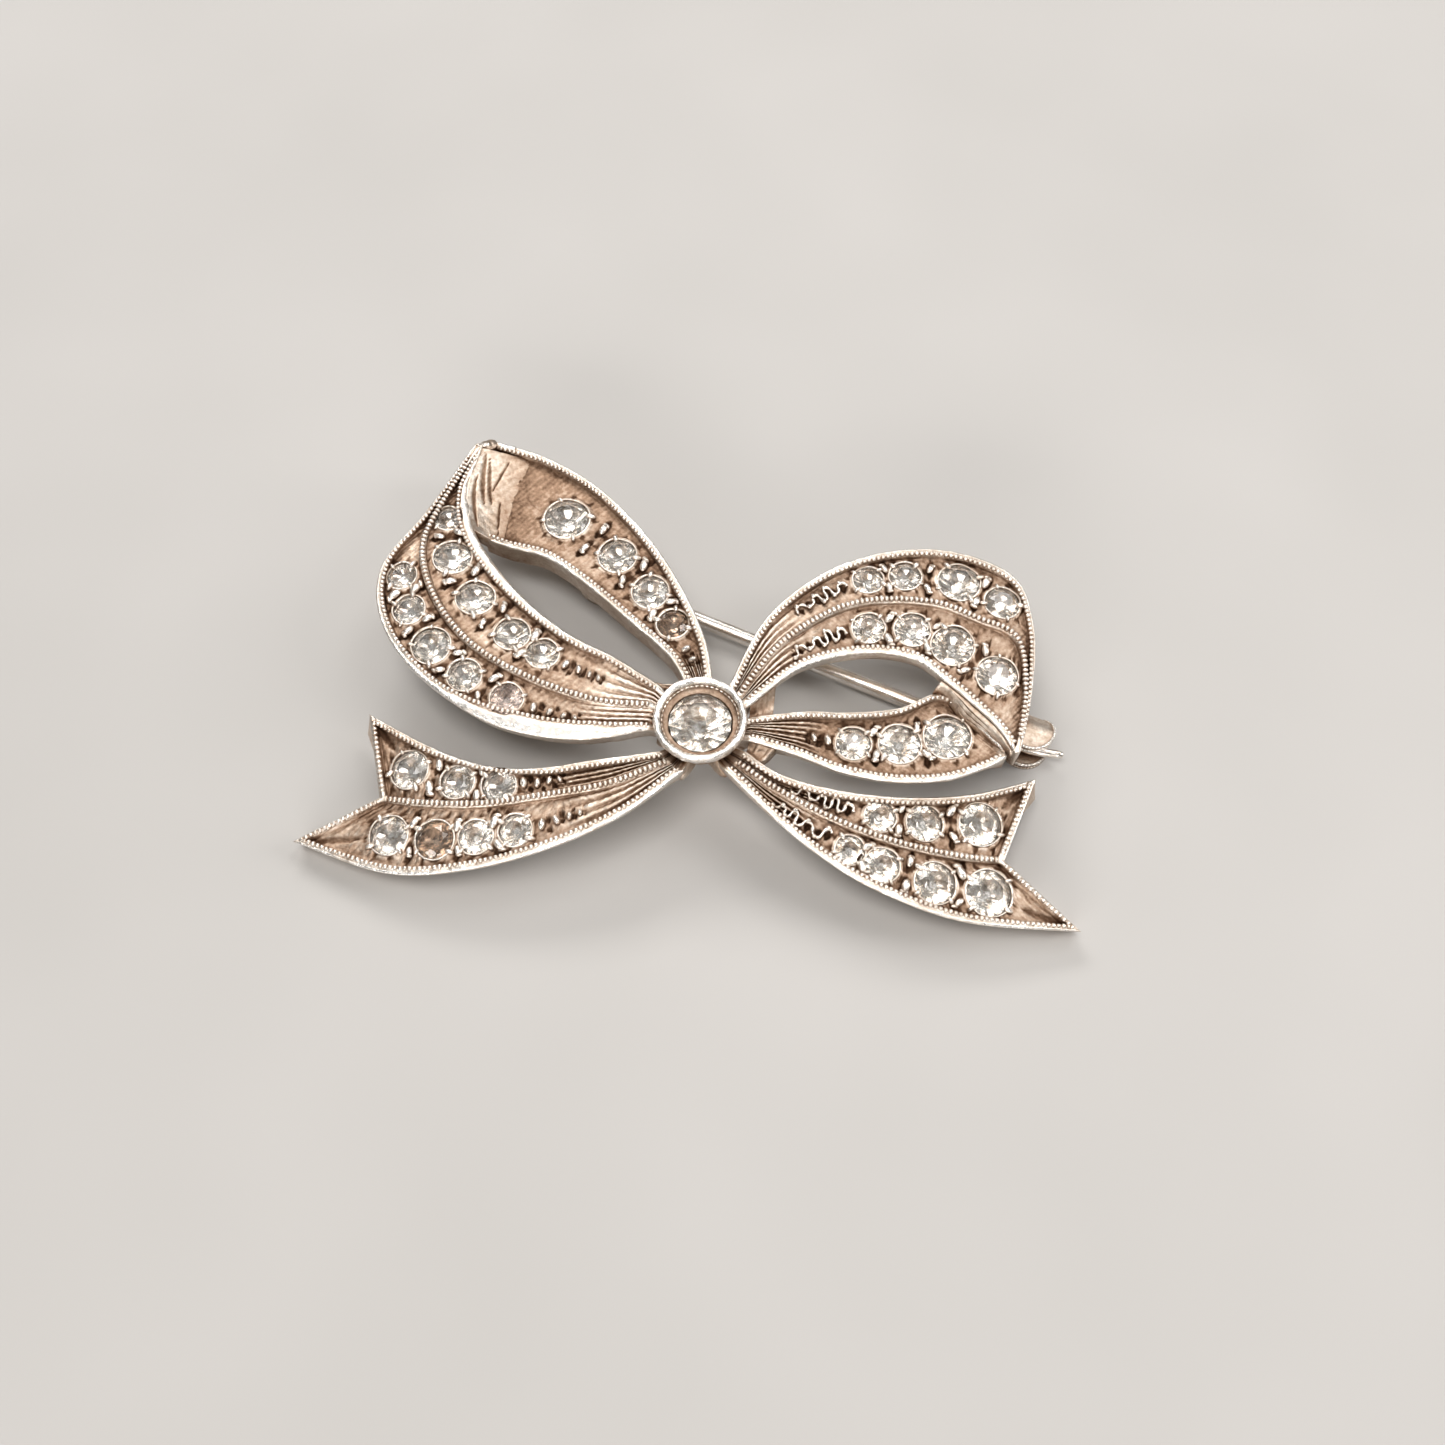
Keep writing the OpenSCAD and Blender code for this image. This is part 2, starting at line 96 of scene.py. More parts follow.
RIGHT_FRONT = [
    [[1.3, 2.8, 5.2], [2.0, 2.4, 5.2], [2.7, 1.7, 5.2]],
    [[3.1, 7.9, 5.4], [4.2, 6.2, 5.5], [5.4, 4.5, 5.3]],
    [[7.1, 11.9, 5.6], [7.9, 9.1, 5.7], [8.7, 5.9, 5.4]],
    [[12.4, 13.7, 5.6], [12.4, 9.9, 5.7], [11.8, 6.0, 5.4]],
    [[17.2, 12.7, 5.5], [15.6, 9.1, 5.7], [13.8, 4.8, 5.4]],
    [[18.8, 9.5, 5.4], [17.9, 8.2, 5.5], [15.6, 3.5, 5.3]],
    [[19.0, 5.2, 5.3], [18.6, 4.8, 5.3], [17.1, 2.2, 5.3]],
    [[18.5, 0.9, 5.2], [18.3, 0.8, 5.2], [18.1, 0.9, 5.2]]]
RIGHT_RETURN = [
    [[2.7, 1.2, 4.6], [2.9, 0.5, 4.6], [2.9, -0.3, 4.6]],
    [[5.9, 2.1, 4.5], [5.8, 0.6, 4.5], [5.8, -0.8, 4.5]],
    [[8.5, 2.4, 4.5], [8.5, 0.5, 4.5], [8.4, -1.5, 4.5]],
    [[11.4, 3.1, 4.5], [11.4, 0.8, 4.5], [11.4, -1.7, 4.5]],
    [[13.7, 4.4, 4.5], [14.3, 1.7, 4.5], [14.4, -1.2, 4.5]],
    [[15.6, 3.0, 4.6], [16.2, 1.6, 4.6], [16.6, -0.2, 4.6]],
    [[17.7, 1.2, 4.6], [17.7, 1.0, 4.6], [17.8, 0.7, 4.6]]]
LEFT_TAIL = [
    [[-2.2, -1.8, 4.8], [-1.6, -2.3, 4.8], [-0.6, -2.9, 4.8]],
    [[-5.8, -2.7, 4.5], [-4.7, -4.0, 4.5], [-3.6, -5.9, 4.5]],
    [[-9.0, -3.5, 4.1], [-8.2, -5.0, 4.0], [-7.7, -8.3, 3.8]],
    [[-12.1, -3.6, 3.7], [-12.0, -5.9, 3.5], [-12.2, -9.9, 3.0]],
    [[-15.7, -2.7, 3.2], [-15.6, -6.1, 2.9], [-17.0, -10.4, 2.1]],
    [[-20.1, -0.8, 2.6], [-18.3, -5.9, 2.2], [-22.9, -9.0, 1.4]]]
RIGHT_TAIL = [
    [[2.8, -1.1, 4.8], [2.4, -1.8, 4.8], [1.7, -2.4, 4.8]],
    [[5.0, -2.1, 4.5], [4.8, -3.0, 4.5], [4.3, -4.4, 4.5]],
    [[8.4, -2.5, 4.2], [8.2, -4.2, 4.1], [7.1, -6.2, 4.0]],
    [[12.2, -2.2, 3.7], [11.9, -4.9, 3.5], [11.0, -7.9, 3.4]],
    [[16.2, -1.2, 3.1], [15.7, -5.0, 2.8], [16.4, -8.8, 2.4]],
    [[19.9, 0.5, 2.6], [18.4, -4.7, 2.2], [23.1, -8.1, 1.4]]]

# What each band is made with. "rims" are the widths of the rim along either edge, "thick" the
# thickness at the knot and at the far end, "walls" how dark the side walls are painted at the top,
# from where they darken towards the bottom (tarnish and painted shade), and "floor_darkening" how
# much darker the floor is painted. "sinks" is where the floor drops under the fold; it is painted
# darker there, a painted shade.
# Each row of stones: the stones' names, lane (0 or 1 beside the rib, 0.5 on a plain band),
# their places along the band and their diameters, counted from the knot.
BANDS = {
    "left_loop_front": {
        "node": "left_loop_front_band", "stations": LEFT_FRONT, "thick": (2.2, 1.9),
        "rims": ([0.35, 1.05, 1.1, 0.55, 0.45, 0.42, 0.42, 0.42, 0.42], [0.4, 0.42, 0.75, 0.9]),
        "rows": [("left_front_outer_stone_", 0,
                  [0.286, 0.376, 0.47, 0.575, 0.67], [1.9, 2.0, 2.3, 1.9, 1.8]),
                 ("left_front_inner_stone_", 1,
                  [0.302, 0.391, 0.524, 0.657, 0.796], [1.9, 2.1, 2.3, 2.3, 1.7])]},
    "left_loop_return": {
        "node": "left_loop_return_band", "stations": LEFT_RETURN, "thick": (1.8, 1.7),
        "sinks": (0.88, 0.91), "undercut": 0.1, "walls": 0.65, "floor_darkening": 0.22,
        "rims": ([0.42, 0.42, 0.4, 0.4], [0.42, 0.42, 0.42, 0.4]),
        "rows": [("left_return_stone_", 0.5, [0.27, 0.384, 0.518, 0.694], [1.9, 2.2, 2.3, 2.8])]},
    "right_loop_front": {
        "node": "right_loop_front_band", "stations": RIGHT_FRONT, "thick": (2.2, 1.9),
        "rims": ([0.42, 0.42, 0.42, 0.42], [0.46, 0.46, 0.46, 0.42]),
        "rows": [("right_front_outer_stone_", 0, [0.322, 0.384, 0.487, 0.598], [1.8, 1.9, 2.5, 2.1]),
                 ("right_front_inner_stone_", 1, [0.314, 0.41, 0.536, 0.728], [1.9, 2.1, 2.5, 2.4])]},
    "right_loop_return": {
        "node": "right_loop_return_band", "stations": RIGHT_RETURN, "thick": (1.8, 1.7),
        "first_milled_to": 0.74, "floor_darkening": 0.22,
        "rims": ([0.34, 0.34, 0.34, 0.34], [0.42, 0.42, 0.42, 0.42]),
        "rows": [("right_return_stone_", 0.5, [0.36, 0.514, 0.67], [2.0, 2.4, 2.7])]},
    "left_tail_ribbon": {
        "node": "left_tail", "stations": LEFT_TAIL, "thick": (1.8, 1.4),
        "rims": ([0.42, 0.42, 0.4, 0.24, 0.26, 0.36, 0.42], [0.5, 0.5, 0.46, 0.42]),
        "rows": [("left_tail_upper_stone_", 0, [0.554, 0.697, 0.864], [2.0, 2.0, 2.3]),
                 ("left_tail_lower_stone_", 1, [0.488, 0.595, 0.711, 0.842], [1.9, 2.0, 2.3, 2.3])]},
    "right_tail_ribbon": {
        "node": "right_tail", "stations": RIGHT_TAIL, "thick": (1.8, 1.4),
        "rims": ([0.42, 0.42, 0.42, 0.42], [0.46, 0.46, 0.46, 0.42]),
        "rows": [("right_tail_upper_stone_", 0, [0.546, 0.68, 0.852], [1.8, 2.1, 2.5]),
                 ("right_tail_lower_stone_", 1, [0.502, 0.599, 0.737, 0.864], [1.7, 2.0, 2.4, 2.7])]}}
for facts in BANDS.values():
    facts["ribbed"] = len(facts["rows"]) == 2
    facts["end_rim"] = facts["node"].endswith("tail")
    facts["winding"] = facts["node"] in ("right_loop_front_band", "right_tail")
    facts["cut_until"] = min(row[2][0] for row in facts["rows"]) - 0.08

CHANNEL_DEPTH = 0.4
GIRDLE_LIFT = 0.05     # how far a stone's girdle is above the channel's floor
SEAT_GAP = 0.01        # how much smaller a stone's radius is than its seat's
RIB_W = 0.36
RIM_SLOPE = 0.13       # how wide the slope from a rim to the floor is
ROW_PITCH = 0.085      # distance between the sections of a band's mesh
BEAD_PITCH = 0.3       # distance between the beads of a milled edge
CUT_DEPTH = 0.24       # how deep a graver's cuts go beside the stones
SHARP = math.radians(35)             # the least angle at a CAD edge that is worn round
ZONE_SAMPLES = (7, 4, 17, 4, 4)      # points across half a band: rim, slope, floor, slope, rib
UNDER_COLS = 15        # points across a band's underside
GRAIN_RINGS, GRAIN_SIDES = 5, 9
THREAD_POINTS = 96     # points along a winding thread

rng = np.random.default_rng(7)


# ---- small helpers ----

def step(x, low, high):
    """Smooth 0 to 1 as x goes from low to high."""
    t = np.clip((x - low) / np.maximum(np.subtract(high, low), 1e-6), 0, 1)
    return t * t * (3 - 2 * t)


def unit(v):
    v = np.asarray(v, float)
    return v / np.maximum(np.linalg.norm(v, axis=-1, keepdims=True), 1e-9)


def wobble(p, size, seed):
    """A soft uneven field, about -1 to 1, with lumps of the given size in millimetres."""
    k = 2 * math.pi / size
    x, y, z = p[..., 0] * k, p[..., 1] * k, p[..., 2] * k
    return (np.sin(x + 1.7 * seed + 1.3 * np.sin(0.7 * y)) * np.sin(y * 1.1 + 2.3 * seed)
            + 0.5 * np.sin(1.9 * x - 1.4 * y + 0.6 * z + seed)
            + 0.35 * np.sin(3.1 * y + 2.2 * x + 5 * seed)) / 1.5


def curve(points, s):
    """The CAD's smooth curve through control points, at places s from 0 to 1."""
    points = np.asarray(points, float)
    spans = len(points) - 1
    at = np.clip(s, 0, 1) * spans
    i = np.minimum(np.floor(at).astype(int), spans - 1)
    t = (at - i).reshape((-1,) + (1,) * (points.ndim - 1))
    a, b = points[np.maximum(i - 1, 0)], points[i]
    c, d = points[i + 1], points[np.minimum(i + 2, spans)]
    return b + 0.5 * t * (c - a + t * (2 * a - 5 * b + 4 * c - d + t * (3 * b - a - 3 * c + d)))


def run_along(path):
    """The distance from a path's start to each of its points."""
    return np.concatenate([[0], np.cumsum(np.linalg.norm(np.diff(path, axis=0), axis=1))])


def even_places(stations, pitch):
    """Places along a band whose sections lie about one pitch apart."""
    dense = np.linspace(0, 1, 1200)
    run = run_along(curve(stations, dense).mean(axis=1))
    count = max(int(run[-1] / pitch), 8)
    return np.interp(np.linspace(0, run[-1], count + 1), run, dense)


def in_scene(name, data):
    made = bpy.data.objects.new(name, data)
    bpy.context.scene.collection.objects.link(made)
    return made


class Builder:
    """Collects vertices, faces and a darkness value per vertex for one piece: how dark the silver is
    painted, as tarnish and painted shade.
    """

    def __init__(self):
        self.points, self.faces, self.cavity, self.count = [], [], [], 0

    def add(self, points, faces, cavity):
        points = np.asarray(points, float).reshape(-1, 3)
        self.points.append(points)
        self.cavity.append(np.broadcast_to(np.asarray(cavity, float).reshape(-1), (len(points),)))
        self.faces.extend([[i + self.count for i in f] for f in faces])
        self.count += len(points)

    def piece(self, name, material, origin=KNOT, smooth=True):
        points = np.concatenate(self.points) * MM + origin
        if origin is KNOT:
            points = np.clip(points, CAD_BOX[0], CAD_BOX[1])
        mesh = bpy.data.meshes.new(name)
        mesh.from_pydata(points.tolist(), [], self.faces)
        mesh.attributes.new("cavity", "FLOAT", "POINT").data.foreach_set(
            "value", np.concatenate(self.cavity).astype(np.float32))
        mesh.polygons.foreach_set("use_smooth", [smooth] * len(mesh.polygons))
        mesh.materials.append(material)
        mesh.validate()
        return in_scene(name, mesh)


def ring_faces(rows, cols):
    """Quads between neighbouring rows of a grid whose last column joins its first."""
    i, j = np.meshgrid(np.arange(rows - 1), np.arange(cols), indexing="ij")
    k = (j + 1) % cols
    return np.stack([i * cols + j, i * cols + k, (i + 1) * cols + k, (i + 1) * cols + j],
                    axis=-1).reshape(-1, 4).tolist()


def tube(build, path, ups, half_w, half_h, cavity, around, base_cavity=0.75):
    """A closed tube along a path, half_w wide to each side and half_h high to each side. Its lower side
    is painted darker with the underside tone, a painted shade.
    """
    path = np.asarray(path, float)
    rows = len(path)
    along = unit(np.gradient(path, axis=0))
    ups = unit(np.broadcast_to(ups, path.shape))
    across = unit(np.cross(along, ups))
    up = np.cross(across, along)
    turn = np.arange(around) * 2 * math.pi / around
    w = np.broadcast_to(half_w, (rows,))[:, None, None]
    h = np.broadcast_to(half_h, (rows,))[:, None, None]
    grid = (path[:, None, :] + across[:, None, :] * w * np.cos(turn)[None, :, None]
            + up[:, None, :] * h * np.sin(turn)[None, :, None])
    faces = ring_faces(rows, around)
    faces += [list(range(around))[::-1], [(rows - 1) * around + j for j in range(around)]]
    # Painted shade: the tube's lower side blends to the darker underside tone.
    low = step(-np.sin(turn), -0.5, 0.6)[None, :]
    shade = np.broadcast_to(cavity, (rows,))[:, None] * (1 - low) + base_cavity * low
    build.add(grid, faces, shade)


def beaded_edge(build, path, ups, half_w, half_h):
    """A row of milled beads, run together as a graver leaves them."""
    path = np.asarray(path, float)
    run = run_along(path)
    beads = max(int(run[-1] / BEAD_PITCH), 2)
    per_bead = 6
    at = np.linspace(0, run[-1], beads * per_bead + 1)
    fine, fine_up = (np.stack([np.interp(at, run, of[:, k]) for k in range(3)], axis=1)
                     for of in (path, np.broadcast_to(ups, path.shape)))
    x = np.abs(((np.arange(len(at)) % per_bead) / per_bead + 0.5) % 1 - 0.5) * 2
    which = np.arange(len(at)) // per_bead
    size = 1 + 0.16 * wobble(fine[which * per_bead], 1.7, 3.0)
    swell = 0.2 + 0.8 * np.sqrt(np.clip(1 - (1 - x) ** 2, 0, 1))
    ends = step(np.arange(len(at)), 0, 3) * step(np.arange(len(at))[::-1], 0, 3) + 0.02
    # Tarnish and painted shade: the gaps between the beads are painted dark.
    shade = 1.1 * np.clip(1 - x, 0, 1) ** 1.4
    tube(build, fine, fine_up, half_w * swell * size * ends, half_h * swell * size * ends, shade, 7, 1.0)


def bead(build, centre, up, along, size):
    """A small raised grain: a rounded lump of the given half sizes (along, across, up)."""
    up = unit(up)
    along = unit(np.asarray(along, float) - up * np.dot(along, up))
    across = np.cross(up, along)
    tilt = np.linspace(math.pi / 2, -math.pi / 2 * 0.5, GRAIN_RINGS)
    turn = np.arange(GRAIN_SIDES) * 2 * math.pi / GRAIN_SIDES
    ring = np.stack([np.cos(tilt)[:, None] * np.cos(turn), np.cos(tilt)[:, None] * np.sin(turn),
                     np.broadcast_to(np.sin(tilt)[:, None], (GRAIN_RINGS, GRAIN_SIDES))], axis=-1)
    points = (centre + ring[..., :1] * size[0] * along + ring[..., 1:2] * size[1] * across
              + ring[..., 2:] * size[2] * up)
    faces = ring_faces(GRAIN_RINGS, GRAIN_SIDES)
    faces.append([(GRAIN_RINGS - 1) * GRAIN_SIDES + j for j in range(GRAIN_SIDES)])
    # Painted shade: the grain's lower half is painted darker.
    shade = 0.9 * step(-np.sin(tilt), -0.6, 0.5)
    build.add(points, faces, np.repeat(shade, GRAIN_SIDES))


# ---- stone places ----

def side(stations, which, s):
    """Points along a band's first edge (0), middle (1) or second edge (2)."""
    return curve(stations, np.asarray(s))[:, which]


def lane_point(stations, lane, s):
    a, m, b = (side(stations, k, np.atleast_1d(s)) for k in range(3))
    return m if lane == 0.5 else (a + m) / 2 if lane == 0 else (m + b) / 2


def lane_normal(stations, lane, s):
    first, second = (1 if lane == 1 else 0), (1 if lane == 0 else 2)
    along = lane_point(stations, lane, s + 0.02) - lane_point(stations, lane, s - 0.02)
    s = np.atleast_1d(s)
    across = side(stations, second, s) - side(stations, first, s)
    up = unit(np.cross(along, across))
    return up * np.where(up[:, 2:] < 0, -1, 1), unit(along)


def stones_of(band):
    """Every stone of a band: name, centre of the girdle, three directions, radius and place."""
    found = []
    for prefix, lane, places, sizes in band["rows"]:
        for i, (s, d) in enumerate(zip(places, sizes)):
            up, along = lane_normal(band["stations"], lane, s)
            centre = lane_point(band["stations"], lane, s)[0] - up[0] * (CHANNEL_DEPTH - GIRDLE_LIFT)
            found.append({"name": f"{prefix}{i + 1}", "centre": centre, "up": up[0], "along": along[0],
                          "aside": np.cross(up[0], along[0]), "r": d / 2, "s": s})
    return found


# ---- bands ----

def rim_width(rims, s):
    return np.interp(s, np.linspace(0, 1, len(rims)), rims)


def half_shares(width, rim_w, rib_w):
    """Where a section's points lie across half a band, as shares of the half's width."""
    rim = np.minimum(rim_w / width, 0.45)
    slope = np.minimum(RIM_SLOPE / width, 0.1)
    rib = np.minimum(rib_w / width, 0.2)
    marks = [0 * rim, rim, rim + slope, 1 - rib - slope, 1 - rib, 1 + 0 * rim]
    parts = [marks[k][:, None] + (marks[k + 1] - marks[k])[:, None] * np.arange(n)[None, :] / n
             for k, n in enumerate(ZONE_SAMPLES)]
    return np.concatenate(parts + [np.ones((len(width), 1))], axis=1)


def top_surface(band, s):
    """The band's top at places s: points (sections, across, 3) and for each how dark it is painted
    (tarnish and painted shade, darker the deeper it lies).
    """
    a, m, b = (side(band["stations"], k, s) for k in range(3))
    rib_w = RIB_W / 2 if band["ribbed"] else 0.05
    halves = []
    end_a, end_m, end_b = (np.array(band["stations"][-1][k], float) for k in range(3))
    length = np.linalg.norm(np.diff(m, axis=0), axis=1).sum()
    for edge, end_edge, rims in zip((a, b), (end_a, end_b), band["rims"]):
        width = np.maximum(np.linalg.norm((m - edge)[:, :2], axis=1), 0.02)
        rim_w = rim_width(rims, s)
        share = half_shares(width, rim_w, rib_w)
        points = edge[:, None] + (m - edge)[:, None] * share[..., None]
        flat = points.copy()
        from_edge = share * width[:, None]
        from_middle = (1 - share) * width[:, None]
        fitted_rim = np.minimum(rim_w, 0.45 * width)[:, None]
        if band["end_rim"]:  # the rim turns round the tail's end
            ends = end_edge + (end_m - end_edge) * share[..., None]
            from_end = np.linalg.norm((points - ends)[..., :2], axis=-1) * 0.9
            near_end = from_end < from_edge
            from_edge = np.where(near_end, from_end, from_edge)
            fitted_rim = np.where(near_end, 0.36, fitted_rim)
            from_middle = np.where(near_end & (from_end < 0.3), 9.0, from_middle)
        taper = np.ones_like(s) if band["end_rim"] else np.clip((1 - s) * length / 1.2, 0.05, 1)
        depth = (CHANNEL_DEPTH * (0.62 + 0.38 * step(s, 0.04, 0.22)) * taper)[:, None]
        # Across: a rounded rim, a groove in it for the beads, a slope, the floor and the rib
        crown = 0.09 * (np.clip(from_edge / fitted_rim, 0, 1) * 2 - 1) ** 2
        crown += 0.4 * step(fitted_rim, 0.65, 1.1) * np.clip(1 - from_edge / fitted_rim, 0, 1) ** 1.5
        groove = np.exp(-((from_edge - fitted_rim + 0.24) / 0.05) ** 2) * (fitted_rim > 0.33)
        fall = step(from_edge, fitted_rim, fitted_rim + RIM_SLOPE)
        height = -crown * (1 - fall) - depth * fall
        if band["ribbed"]:
            rib_top = 0.07 + 0.06 * np.clip(from_middle / rib_w, 0, 1) ** 2
            rib_fall = step(from_middle, rib_w, rib_w + RIM_SLOPE * 0.8)
            height = np.maximum(height, -(rib_top * (1 - rib_fall) + depth * rib_fall))
        floor_w = np.maximum(width[:, None] - fitted_rim - rib_w, 0.05)
        floor_share = np.clip((from_edge - fitted_rim) / floor_w, 0, 1)
        on_floor = step(-height, depth * 0.75, depth * 0.98)
        # Towards the knot the floor is cut into three or four lines that fan out
        cuts = (0.5 - 0.5 * np.cos(2 * math.pi * 3.5 * floor_share)) ** 2
        engraved = on_floor * (1 - step(s, band["cut_until"] - 0.12, band["cut_until"]))[:, None]
        height = height + engraved * (0.15 * (1 - cuts) - 0.05 * cuts)
        height -= (0.5 * fall * step(s, *band["sinks"])[:, None]) if "sinks" in band else 0
        points[..., 2] += height + on_floor * 0.035 * wobble(flat, 0.5, 4.0)
        # Tarnish and painted shade: the deeper below the rim, the darker; the rim's crown stays bright.
        shade = np.clip(-height / CHANNEL_DEPTH, 0, 1.2) * (1 - step(crown, 0.12, 0.2) * (1 - fall))
        points[..., 2] -= 0.06 * groove
        # The floor's darkness varies at random, the band's extra floor darkening is added, and the groove
        # beside the rim's beads is painted dark as tarnish and painted shade.
        shade += on_floor * (0.22 * wobble(flat, 0.7, 7.0) + band.get("floor_darkening", 0)) + 0.5 * groove
        # Painted shade under the fold, where the floor sinks.
        shade += (0.45 * on_floor * step(s, 0.72, 0.9)[:, None]) if "sinks" in band else 0
        halves.append((points, shade, flat))
    points, shade, flat = (np.concatenate([one, other[:, -2::-1]], axis=1) for one, other in zip(*halves))
    points[..., 2] += wobble(points, 0.9, 1.0) * 0.012 + wobble(points, 2.6, 2.0) * 0.02 - 0.03
    return points, shade, flat


def cut_seats(points, shade, stones):
    """Drops the floor under each stone and lifts a soft collar round it."""
    for stone in stones:
        q = points - stone["centre"]
        high = q @ stone["up"]
        out = np.linalg.norm(q - high[..., None] * stone["up"], axis=-1)
        r = stone["r"]
        near = out < r + 0.5
        bowl = -0.86 * np.clip(r - out, 0, None) - 0.06
        collar = -0.12 + 0.17 * np.exp(-((out - r - 0.13) / 0.1) ** 2)
        target = np.where(out < r + 0.03, bowl, np.maximum(high, collar))
        change = np.where(near, target - high, 0)
        points += change[..., None] * stone["up"]
        # Tarnish and painted shade: dark round the stone's edge, lighter on the collar.
        shade[near & (out < r + 0.05)] = 1.3
        ring = near & (out > r + 0.08) & (out < r + 0.2) & (high < 0.05)
        shade[ring] = np.minimum(shade[ring], 0.55)


def groove_depth(out, run):
    """A cut's depth: 1 on its line, 0 once out passes 1 and past either end of its run."""
    return np.clip(1 - out ** 2, 0, 1) * (run > 0) * (run < 1)


def drill(points, shade, places):
    """Cuts in the floor, pointed like a graver's, painted dark as tarnish and painted shade: places are
    (centre, direction, radius).
    """
    on_floor = step(shade, 0.45, 0.75)
    for centre, way, r in places:
        way = unit(np.asarray(way)[:2])
        q = (points - centre)[..., :2]
        along = q @ way
        across = np.abs(q @ np.array([-way[1], way[0]]))
        out = np.abs(along) / 1.7 + across * (1 + 0.35 * along / r)
        dip = (1 - step(out, r * 0.3, r)) * (np.abs(along) < 1.7 * r) * on_floor
        points[..., 2] -= CUT_DEPTH * dip
        shade += dip


def zipped(top_cols, cols):
    """Triangles that join a section's top line to the rest of its loop, side by side."""
    lower = [0] + list(range(cols - 1, top_cols - 1, -1)) + [top_cols - 1]
    faces, i, j = [], 0, 0
    while i < top_cols - 1 or j < len(lower) - 1:
        if j == len(lower) - 1 or (i < top_cols - 1 and (i + 1) / top_cols <= (j + 1) / len(lower)):
            faces.append([i, i + 1, lower[j]])
            i += 1
        else:
            faces.append([i, lower[j + 1], lower[j]])
            j += 1
    return [f for f in faces if len(set(f)) == 3]


def band_shell(build, band, s, points, shade, flat):
    """Closes the top into a solid: rounded walls down to the underside, and caps."""
    rows, top_cols = points.shape[:2]
    first, last = points[:, 0].copy(), points[:, -1].copy()
    thick = band["thick"][0] + (band["thick"][1] - band["thick"][0]) * s
    points[..., 2] = np.maximum(points[..., 2], flat[..., 2] - thick[:, None] + 0.2)
    across = unit((last - first) * [1, 1, 0])
    wall = np.array([0.08, 0.2, 0.36, 0.55, 0.75, 0.9, 0.97])
    width = np.linalg.norm((last - first)[:, :2], axis=1)
    undercut = np.minimum(band.get("undercut", 0.75), 0.22 * width)
    inset = undercut[:, None, None] * (wall ** 1.4)[None, :, None]
    second_wall = last[:, None] - across[:, None] * inset
    first_wall = first[:, None] + across[:, None] * inset
    for side_wall in (first_wall, second_wall):
        side_wall[..., 2] -= wall[None, :] * thick[:, None]
        side_wall[..., 2] += wobble(side_wall, 1.1, 12.0) * 0.015
    picked = np.linspace(3, top_cols - 4, UNDER_COLS).round().astype(int)
    under = flat[:, picked].copy()
    centre = flat[:, [top_cols // 2]]
    narrow = 1 - np.minimum(undercut / np.maximum(width / 2, 0.05), 0.6)
    under[..., :2] = centre[..., :2] + (under - centre)[..., :2] * narrow[:, None, None]
    hollow = 0.03 * np.sin(math.pi * np.linspace(0, 1, UNDER_COLS)) ** 2
    under[..., 2] -= thick[:, None] - 0.03 - hollow[None, :] * np.minimum(1, (1 - s) * 8)[:, None]
    under[..., 2] += wobble(under, 1.4, 6.0) * 0.02
    loop = np.concatenate([points, second_wall, under[:, ::-1], first_wall[:, ::-1]], axis=1)
    # Tarnish and painted shade: the side walls darken from their top tone towards the bottom; the
    # underside and the end caps are painted fairly dark.
    bright = band.get("walls", 0.25)
    wall_tone = np.tile(bright + (1 - bright) * wall, (rows, 1))
    under_tone = np.full((rows, UNDER_COLS), 0.5)
    tone = np.concatenate([shade, wall_tone, under_tone, wall_tone[:, ::-1]], axis=1)
    cols = loop.shape[1]
    build.add(loop, ring_faces(rows, cols), tone)
    for row, flip in ((0, True), (rows - 1, False)):
        cap = zipped(top_cols, cols)
        build.add(loop[row], [f[::-1] for f in cap] if flip else cap, 0.7)


def inward_rows(points, shade):
    """Runs the band's knot end in under the collet."""
    count, reach, drop = 10, 0.76, 1.1
    share = np.linspace(reach, 1, count, endpoint=False)[:, None]
    inner = np.repeat(points[:1], count, axis=0)
    inner[..., :2] *= share[..., None]
    inner[..., 2] -= (1 - share) * drop
    return np.concatenate([inner, points]), np.concatenate([np.repeat(shade[:1], count, axis=0), shade])


def edge_line(band, which, inset, lift, s, end):
    """A line beside one edge, inset from it, for a milled edge."""
    edge, middle = (side(band["stations"], k, s) for k in (which, 1))
    width = np.maximum(np.linalg.norm((middle - edge)[:, :2], axis=1), 0.02)
    share = np.minimum(inset / width, 0.42)[:, None]
    line = edge + (middle - edge) * share
    line[:, 2] += lift
    return line[s <= end]


def milled_edges(build, band):
    s = even_places(band["stations"], 0.2)
    last = 0.985 if band["end_rim"] else 0.97
    for which, rims in zip((0, 2), band["rims"]):
        inset = rim_width(rims, s) - 0.06
        until = last if which else band.get("first_milled_to", last)
        beaded_edge(build, edge_line(band, which, inset, -0.09, s, until), (0, 0, 1), 0.14, 0.14)
    if band["ribbed"]:
        middle = side(band["stations"], 1, s)[s <= last - 0.015]
        middle[:, 2] -= 0.08
        beaded_edge(build, middle, (0, 0, 1), 0.19, 0.19)
    if band["end_rim"]:
        tip_a, notch, tip_b = (np.array(p, float) for p in band["stations"][-1])
        back = unit(side(band["stations"], 1, [0.95])[0] - notch) * [1, 1, 0]
        for tip in (tip_a, tip_b):
            share = np.linspace(0.06, 0.97, 30)[:, None]
            line = notch + (tip - notch) * share + back * 0.27
            line[:, 2] -= 0.06
            beaded_edge(build, line, (0, 0, 1), 0.16, 0.16)


